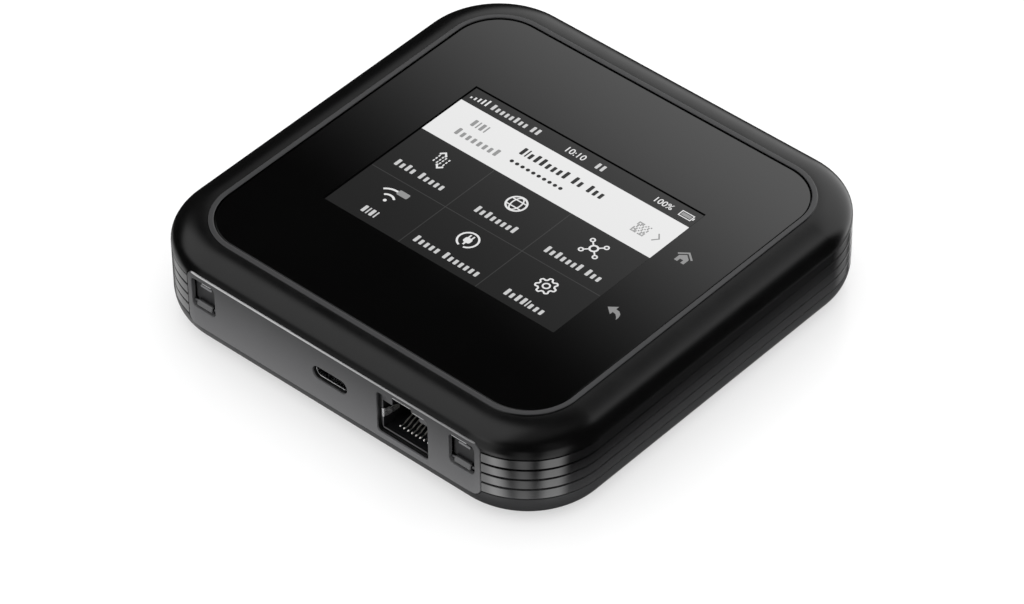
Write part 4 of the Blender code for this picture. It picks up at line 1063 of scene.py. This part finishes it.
def make_tile_icons():
    """One symbol on each of the six tiles."""
    draw_arrows(Drawing((-20.1, 1.15))).finish("screen_icon_data", "icon")
    draw_globe(Drawing((-0.3, 1.05))).finish("screen_icon_globe", "icon")
    draw_nodes(Drawing((19.75, 0.95))).finish("screen_icon_nodes", "icon")
    waves = Drawing((-20.5, -14.95)).disc((0, 0), 0.38)
    waves.sweep((0, 0), 1.8, 0.48, 42, 137).sweep((0, 0), 3.5, 0.48, 84, 137)
    waves.finish("screen_icon_waves", "icon")
    Drawing((-18.8, -11.4)).bar((0, 0), 1.35, 0.72, 0.3).finish("screen_icon_badge", "soft")
    plug = Drawing((-0.3, -13.1)).sweep((0, 0), 2.2, ICON_LINE, -75, 255)
    plug.bar((0, -0.1), 0.85, 0.75, 0.5).bar((0, -1.15), 0.2, 0.4)
    for x in (-0.42, 0.42):
        plug.bar((x, 1.05), 0.17, 0.45)
    plug.finish("screen_icon_plug", "icon")
    draw_gear(Drawing((19.95, -13.2))).finish("screen_icon_gear", "icon")


def draw_arrows(icon):
    """Two arrows, one up and one down, with dotted tails."""
    for sign in (-1, 1):
        x = -0.8 * sign
        tip = 2.2 * sign
        head = tip - 0.85 * sign
        icon.stroke([(x - 0.85, head), (x, tip), (x + 0.85, head)], ICON_LINE)
        for side in (-0.5, 0.5):
            icon.stroke([(x + side * 1.7, head), (x + side * 0.9, head)], 0.3)
            for step in range(3):
                icon.bar((x + side * 0.9, head - sign * (0.55 + 0.85 * step)), 0.15, 0.27)
    return icon


def draw_globe(icon):
    """A ring with two meridians and two parallels."""
    radius = 2.15
    inside = radius - ICON_LINE / 2
    icon.ring((0, 0), radius, ICON_LINE)
    for sign in (1, -1):
        meridian = [(sign * x * 0.52, y) for x, y in arc((0, 0), inside, -90, 90, 16)]
        parallel = 0.95 * sign
        icon.stroke(meridian, 0.3)
        icon.bar((0, parallel), math.sqrt(radius**2 - parallel**2) - ICON_LINE / 2, 0.15)
    return icon


def draw_nodes(icon):
    """A ring joined to four smaller ones."""
    icon.ring((0, 0), 0.85, ICON_LINE)
    for angle in (45, 135, 225, 315):
        turn = Vector((math.cos(math.radians(angle)), math.sin(math.radians(angle))))
        icon.stroke([turn * 1.02, turn * 2.05], 0.32).ring(turn * 2.5, 0.46, 0.32)
    return icon


def draw_gear(icon):
    """A wheel with rounded lobes and a hole."""
    lobes = 7
    points = 84
    outline = []
    for step in range(points):
        angle = 2 * math.pi * step / points
        radius = 1.92 + 0.3 * math.tanh(2.2 * math.cos(lobes * angle))
        outline.append((radius * math.cos(angle), radius * math.sin(angle)))
    return icon.stroke(outline, 0.36, closed=True).ring((0, 0), 0.72, 0.34)


def make_tile_labels():
    """Under each symbol, blocks where the label would be."""
    labels = Drawing()
    for pattern, centre in (
        ("hxhx hxxxx", (-20.4, -4.8)),
        ("hxhxxxxh", (-0.2, -5.0)),
        ("hxhxxxh hxx", (19.7, -5.0)),
        ("hihi", (-20.5, -19.3)),
        ("hxxxx hxxxxxx", (-0.3, -19.2)),
        ("hxhhixxx", (19.8, -19.3)),
    ):
        labels.word(pattern, centre, 1.95)
    labels.finish("screen_tile_labels", "word")


def make_touch_keys():
    """The home and back symbols printed on the glass to the right of the screen."""
    home = Drawing((34.6, 10.25), 0).stroke([(-1.75, 0.35), (0, 1.75), (1.75, 0.35)], 0.4)
    right_half = [(0.4, -0.6), (0.4, -1.5), (1.2, -1.5), (1.2, 0.1)]
    left_half = [(-x, y) for x, y in reversed(right_half)]
    home.area(right_half + [(0, 1.1)] + left_half).finish("touch_key_home", "key")
    upper = [(-1.9, 0.35), (-0.2, 1.7), (-0.2, 0.85), (0.7, 0.75), (1.4, 0.2), (1.7, -0.7), (1.7, -1.5)]
    lower = [(1.2, -0.8), (0.6, -0.3), (-0.2, -0.15), (-0.2, -1.0)]
    Drawing((34.6, -10.3), 0).area(upper + lower).finish("touch_key_back", "key")


# Port side


def opening_cutter(x, opening, edge):
    """Cuts one opening of the panel and rounds its edge."""
    half_x, low, high, corner = opening
    layers = flared_layers(PANEL_LOW.y, PANEL_BACK + THROUGH, edge)
    return front_plate(half_x, (high - low) / 2, corner, layers, (x, (low + high) / 2))


def make_port_panel():
    """The faceplate, bent with the case, its edge and its openings rounded."""
    half_z = (PANEL_HIGH.z - PANEL_LOW.z) / 2
    middle = (0, (PANEL_HIGH.z + PANEL_LOW.z) / 2)
    layers = rounded_layers(PANEL_LOW.y, PANEL_BACK, 0.18 * MM)
    shape = front_plate(PANEL_HIGH.x, half_z, PANEL_CORNER, layers, middle, 48)
    cuts = []
    for node in ("antenna_cover_left", "antenna_cover_right"):
        low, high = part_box(node)
        cuts.append(opening_cutter((low.x + high.x) / 2, ANTENNA_OPENING, 0.16 * MM))
    usb_half_x = (USB_HIGH.x - USB_LOW.x) / 2 + FIT
    usb_half_z = (USB_HIGH.z - USB_LOW.z) / 2 + FIT
    usb_opening = (usb_half_x, USB_LOW.z - FIT, USB_HIGH.z + FIT, usb_half_z)
    cuts.append(opening_cutter((USB_LOW.x + USB_HIGH.x) / 2, usb_opening, 0.1 * MM))
    cuts.append(opening_cutter(JACK_X, JACK_OPENING, 0.1 * MM))
    cuts.append(opening_cutter(JACK_X, LATCH_OPENING, 0.1 * MM))
    case_piece("port_faceplate", shape, "panel_grey", "panel_grey", "port_panel", cuts=cuts)


def make_opening_edges():
    """A painted highlight: a light bead along the upper edge of the openings, standing in for their glint.
    """
    face = PANEL_LOW.y + 0.02 * MM
    antenna_top = ANTENNA_OPENING[2] + BEAD_LIFT
    lines = (
        (JACK_X - 2.3 * MM, JACK_X + 2.3 * MM, LATCH_OPENING[2] + BEAD_LIFT),
        (JACK_X + 2.9 * MM, JACK_X + 5.7 * MM, JACK_OPENING[2] + BEAD_LIFT),
        (-33.6 * MM, -31.3 * MM, antenna_top),
        (31.3 * MM, 35 * MM, antenna_top),
    )
    beads = [rod(BEAD_RADIUS, (low, face, z), (high, face, z), 12) for low, high, z in lines]
    # The beads are light grey so that they read as a highlight on each edge.
    edges = object_of("opening_edges", merged(*beads), FINISHES["bright_edge"])
    add_piece(edges, "case", "panel_grey")


def make_antenna_cover(side):
    """A flap with a hinge barrel, a raised finger lip and a softened face."""
    node = f"antenna_cover_{side}"
    low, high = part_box(node)
    x = (low.x + high.x) / 2
    bottom = HINGE_Z + 0.2 * MM
    half_z = (high.z - bottom) / 2
    edge = 0.15 * MM
    layers = rounded_layers(FLAP_FRONT, FLAP_BACK, edge)
    half_x = (high.x - low.x) / 2
    plate = front_plate(half_x, half_z, 0.7 * MM, layers, (x, bottom + half_z), bent=False)
    flap = object_of(f"antenna_flap_{side}", plate, FINISHES["cover_black"])
    lip_layers = rounded_layers(FLAP_FRONT - 0.35 * MM, FLAP_FRONT + 0.2 * MM, edge)
    lip = front_plate(1.5 * MM, 0.28 * MM, 0.2 * MM, lip_layers, (x, FLAP_LIP_Z), bent=False)
    end = 2 * MM
    profile = [(BARREL_RADIUS - edge, -end), (BARREL_RADIUS, edge - end)]
    profile += [(radius, -along) for radius, along in reversed(profile)]
    barrel = turned(profile, (x, HINGE_Y, HINGE_Z), "X", 32)
    carve(flap, [lip, barrel], "UNION")
    reach = 3 * MM
    carve(flap, [rod(0.5 * MM, (x - reach, HINGE_Y, HINGE_Z), (x + reach, HINGE_Y, HINGE_Z))])
    add_piece(soften(flap), node, "cover_black", node)


def make_usb_port():
    """A drawn steel shell with a rolled front edge, and a tongue with contact pads."""
    middle = (USB_LOW + USB_HIGH) / 2
    half_x = (USB_HIGH.x - USB_LOW.x) / 2
    half_z = (USB_HIGH.z - USB_LOW.z) / 2
    front = PANEL_LOW.y + 0.9 * MM
    back = USB_HIGH.y

    def pill(inset, layers):
        """A rounded bar along the port's axis."""
        return front_plate(half_x - inset, half_z - inset, half_z - inset, layers, (middle.x, middle.z))

    wall = 0.24 * MM
    gap = 0.08 * MM
    outside = pill(0, rounded_layers(front, back, 0.1 * MM))
    hollow = pill(wall, flared_layers(front, back + THROUGH, 0.08 * MM))
    case_piece("usb_c_sleeve", outside, "nickel", "steel", "usb_c_shell", cuts=[hollow])
    base = pill(wall + gap, [(0, back - 1.4 * MM), (0, back - gap)])
    tongue_half_z = 0.35 * MM
    layers = [(0.15 * MM, front + 0.7 * MM), (0, front + 0.9 * MM), (0, back - 0.8 * MM)]
    blade = front_plate(3.35 * MM, tongue_half_z, 0.1 * MM, layers, (middle.x, middle.z))
    case_piece("usb_c_blade", base, "jack_plastic", "jack_plastic", "usb_c_tongue", joins=[blade])
    count = 12
    pads = []
    for index in range(count):
        x = middle.x + (index - (count - 1) / 2) * 0.5 * MM
        for z in (middle.z + tongue_half_z, middle.z - tongue_half_z):
            low = (x - 0.12 * MM, front + 1.8 * MM, z - 0.02 * MM)
            pads.append(box_shape(low, (x + 0.12 * MM, front + 4.2 * MM, z + 0.02 * MM)))
    add_piece(object_of("usb_c_pads", merged(*pads), FINISHES["gold"]), "case", "gold")


def jack_spaces():
    """Cutters for the plug's cavity and the latch's keyway above it."""
    spaces = []
    for half, top, wall in ((JACK_WALL_X, 13.85 * MM, 1.4 * MM), (3.45 * MM, 15.6 * MM, 3.4 * MM)):
        low = (JACK_X - half, JACK_LOW.y - THROUGH, JACK_FLOOR)
        spaces.append(box_shape(low, (JACK_X + half, JACK_HIGH.y - wall, top)))
    return spaces


def make_ethernet_jack():
    """The jack's body, its metal face, its eight sprung wires and the fingers at its sides."""
    front = JACK_LOW.y
    sheet = 0.25 * MM
    wires = sorted(name for name in frame["nodes"] if name.startswith("ethernet_contact"))
    slots = []
    for node in wires:
        x = sum(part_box(node), Vector()).x / 2
        low = (x - 0.24 * MM, front + 2 * MM, JACK_FLOOR - 0.4 * MM)
        slots.append(box_shape(low, (x + 0.24 * MM, JACK_HIGH.y - 2.2 * MM, JACK_FLOOR + 0.1 * MM)))
    body = box_shape((JACK_LOW.x, front + sheet, JACK_LOW.z), JACK_HIGH)
    cuts = jack_spaces() + [merged(*slots)]
    case_piece("ethernet_jack_body", body, "jack_plastic", "jack_plastic", "ethernet_housing", cuts=cuts)
    face = box_shape(JACK_LOW, (JACK_HIGH.x, front + sheet - 0.01 * MM, JACK_HIGH.z))
    edge = 0.06 * MM
    case_piece("ethernet_jack_face", face, "jack_metal", "nickel", cuts=jack_spaces(), edge=edge, angle=60)
    for index, node in enumerate(wires):
        low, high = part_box(node)
        shape = wire_shape((low.x + high.x) / 2, contact_path(front, high), 0.17 * MM)
        case_piece(f"jack_wire_{index + 1}", shape, "gold", "gold", node)
    for side, sign in (("left", -1), ("right", 1)):
        add_shield_finger(side, sign)


def contact_path(front, end):
    """A sprung wire, as (y, z) points: a bump at the front, a dip, and a long rise to its end."""
    bump = [(2.05, -0.05), (2.2, 0.12), (2.4, -0.05)]
    dip = [(2.7, -0.2), (3.4, -0.2)]
    rise = [(3.8, 0.15), (5.4, 0.65), (8.5, 1.9)]
    path = [(front + deep * MM, JACK_FLOOR + up * MM) for deep, up in bump + dip + rise]
    return path + [(end.y - 0.2 * MM, end.z - 0.2 * MM)]


def wire_shape(x, path, radius, steps=10):
    """A round wire in an upright plane through x, along (y, z) points."""
    rings = []
    for index, point in enumerate(path):
        before = Vector(path[max(index - 1, 0)])
        after = Vector(path[min(index + 1, len(path) - 1)])
        along = (after - before).normalized()
        across = Vector((-along.y, along.x))
        ring = []
        for step in range(steps):
            angle = 2 * math.pi * step / steps
            side = across * radius * math.sin(angle)
            ring.append((x + radius * math.cos(angle), point[0] + side.x, point[1] + side.y))
        rings.append(ring)
    return loft(rings)


def add_shield_finger(side, sign):
    """A spring finger that wraps the jack's front edge and runs back along its side wall."""
    middle = 10.6 * MM
    thick = 0.14 * MM
    # In millimetres: how far in from the wall, how far back from the front, and half the height
    hook = [(-0.5, -0.16, 1.1), (-0.1, -0.18, 1.1), (0.05, -0.02, 1.1)]
    blade = [(0.35, 0.7, 1), (1, 3.5, 0.65)]
    rings = []
    for inward, deep, tall in hook + blade:
        ring = []
        for inner, up in ((0, -1), (1, -1), (1, 1), (0, 1)):
            x = JACK_X + sign * (JACK_WALL_X - inward * MM - inner * thick)
            y = JACK_LOW.y + deep * MM + (thick if deep < 0 and not inner else 0)
            ring.append((x, y, middle + up * tall * MM))
        rings.append(ring)
    case_piece(f"jack_finger_{side}", loft(rings), "nickel", "nickel", edge=0.03 * MM)


def dress_cad_nodes():
    """Gives every CAD node that stays a procedural finish by its slot."""
    slots = {part["node"]: part["material_slot"] for part in frame["record"]["subparts"]}
    for name, node in frame["nodes"].items():
        node.data.materials.clear()
        node.data.materials.append(FINISHES[slots[name]])


# Stage


def make_floor():
    floor = object_of("floor", box_shape((-6, -6, -0.02), (6, 6, -0.00001)), floor_finish())
    floor.visible_glossy = False


def floor_finish():
    """A pale, faintly glowing floor that is clear when looked at from below."""
    made = Finish("pale_floor", (0.45, 0.45, 0.45), 0.25).vary_colour(0.4, 0.003)
    made.set("Emission Color", (1, 1, 1, 1)).set("Emission Strength", 0.5)
    incoming = made.node("ShaderNodeNewGeometry").outputs["Incoming"]
    height = made.node("ShaderNodeSeparateXYZ", {"Vector": incoming}).outputs["Z"]
    below = math_node(made.tree, "LESS_THAN", height, 0)
    clear = made.node("ShaderNodeBsdfTransparent").outputs[0]
    either = made.node("ShaderNodeMixShader", {0: below, 1: made.shader.outputs[0], 2: clear})
    for node in made.tree.nodes:
        if node.bl_idname == "ShaderNodeOutputMaterial":
            made.tree.links.new(either.outputs[0], node.inputs["Surface"])
    return made.material


def make_camera():
    """Looks down on the near corner through a long lens."""
    azimuth = 42.072
    roll = math.radians(-0.81)
    distance = 1051.3 * MM
    back = direction(azimuth - 90, 42.017)
    right = direction(azimuth, 0)
    up = back.cross(right)
    turned_right = right * math.cos(roll) + up * math.sin(roll)
    turned_up = up * math.cos(roll) - right * math.sin(roll)
    target = Vector((0, 0, 11 * MM)) - turned_right * 0.15 * MM - turned_up * 10.92 * MM
    data = bpy.data.cameras.new("camera")
    data.sensor_width = 36
    data.lens = 188.3
    data.clip_start = 0.01
    data.clip_end = 50
    camera = bpy.data.objects.new("camera", data)
    turn = Matrix((turned_right, turned_up, back)).transposed().to_4x4()
    camera.matrix_world = Matrix.Translation(target + back * distance) @ turn
    bpy.context.scene.collection.objects.link(camera)
    bpy.context.scene.camera = camera


def direction(azimuth, elevation):
    """Unit vector; azimuth 0 is +X and 90 is +Y, in degrees."""
    turn = math.radians(azimuth)
    tilt = math.radians(elevation)
    return Vector((math.cos(turn) * math.cos(tilt), math.sin(turn) * math.cos(tilt), math.sin(tilt)))


# What shiny surfaces see round them: softboxes as (brightness, blur in degrees, corners), with each
# corner as (azimuth, elevation). Those below the horizon are strips of light on the floor.
SOFTBOXES = (
    (1.9, 8, ((63, -33), (86, -36), (106, -20), (140, 30), (142, 38), (116, 53), (46, 51))),
    (1.6, 5, ((-95, 32), (-85, 66), (130, 72), (150, 46), (165, 30), (-165, 26))),
    (1.2, 8, ((-121, -52), (-122, 36), (-84, 38), (-84, -52))),
    (0.28, 6, ((62, -54), (64, -34), (90, -32), (92, -54))),
    (1.3, 6, ((-98, -54), (-96, -30), (-76, -30), (-74, -54))),
    (0.75, 6, ((-66, -54), (-62, 8), (-47, 8), (-45, -54))),
    (1.5, 6, ((-34, -54), (-31, 5), (-7, 5), (-4, -54))),
    (0.3, 8, ((-32, 5), (-30, 50), (-8, 50), (-6, 5))),
    (0.85, 8, ((-206, -54), (-192, -20), (-160, -8), (-146, -30), (-140, -54))),
    (0.9, 6, ((104, -54), (106, -36), (124, -38), (126, -54))),
    (0.4, 12, ((-60, 62), (60, 62), (150, 72), (-140, 72))),
)
GLOW = 0.025  # and everywhere else
DAYLIGHT = 1.45  # what matt surfaces see all round
GLASS_FADE = Vector((0.165, 0.818, -0.551))  # the way the first softbox brightens, in the flat glass


def soft_edge(tree, ray, normal, low, high):
    """0 on one side of a plane through the eye and 1 on the other, soft from low to high degrees off it."""
    off = add_node(tree, "ShaderNodeVectorMath", {0: ray, 1: normal}, operation="DOT_PRODUCT")
    inputs = {"Value": off.outputs["Value"]}
    inputs["From Min"] = math.sin(math.radians(low))
    inputs["From Max"] = math.sin(math.radians(high))
    edge = add_node(tree, "ShaderNodeMapRange", inputs, interpolation_type="SMOOTHSTEP")
    return edge.outputs["Result"]


def softbox_mask(tree, ray, corners, blur):
    """How much of a ray falls inside the softbox: 1 inside, 0 outside, soft at the edges."""
    points = [direction(*corner) for corner in corners]
    middle = sum(points, Vector())
    mask = 1
    for here, after in zip(points, points[1:] + points[:1]):
        inward = here.cross(after).normalized()
        if inward.dot(middle) < 0:
            inward.negate()
        mask = math_node(tree, "MULTIPLY", mask, soft_edge(tree, ray, inward, -blur, blur))
    return mask


def make_world():
    """White to the camera, softboxes to reflections and even daylight to everything else."""
    world = bpy.data.worlds.new("studio")
    bpy.context.scene.world = world
    world.use_nodes = True
    world.cycles.sampling_method = "NONE"
    tree = world.node_tree
    tree.nodes.clear()
    ray = add_node(tree, "ShaderNodeTexCoord").outputs["Generated"]
    total = GLOW
    for index, (brightness, blur, corners) in enumerate(SOFTBOXES):
        mask = softbox_mask(tree, ray, corners, blur)
        if index == 0:
            fade = soft_edge(tree, ray, GLASS_FADE.normalized(), -0.5, 3.3)
            mask = math_node(tree, "MULTIPLY", mask, fade)
        total = math_node(tree, "MULTIPLY_ADD", mask, brightness, total)
    path = add_node(tree, "ShaderNodeLightPath").outputs
    inputs = {"Factor": path["Is Glossy Ray"], "A": DAYLIGHT, "B": total}
    unseen = add_node(tree, "ShaderNodeMix", inputs).outputs["Result"]
    inputs = {"Factor": path["Is Camera Ray"], "A": unseen, "B": 1}
    light = add_node(tree, "ShaderNodeMix", inputs).outputs["Result"]
    background = add_node(tree, "ShaderNodeBackground", {"Color": (1, 1, 1, 1), "Strength": light})
    add_node(tree, "ShaderNodeOutputWorld", {"Surface": background.outputs["Background"]})


make_top_housing()
make_ridge_band()
make_power_button()
make_bottom_shell()
make_battery_cover()
make_feet()
make_glass()
make_screen()
make_port_panel()
make_opening_edges()
make_antenna_cover("left")
make_antenna_cover("right")
make_usb_port()
make_ethernet_jack()
dress_cad_nodes()
make_floor()
make_world()
make_camera()
bpy.context.scene.view_settings.view_transform = "Standard"
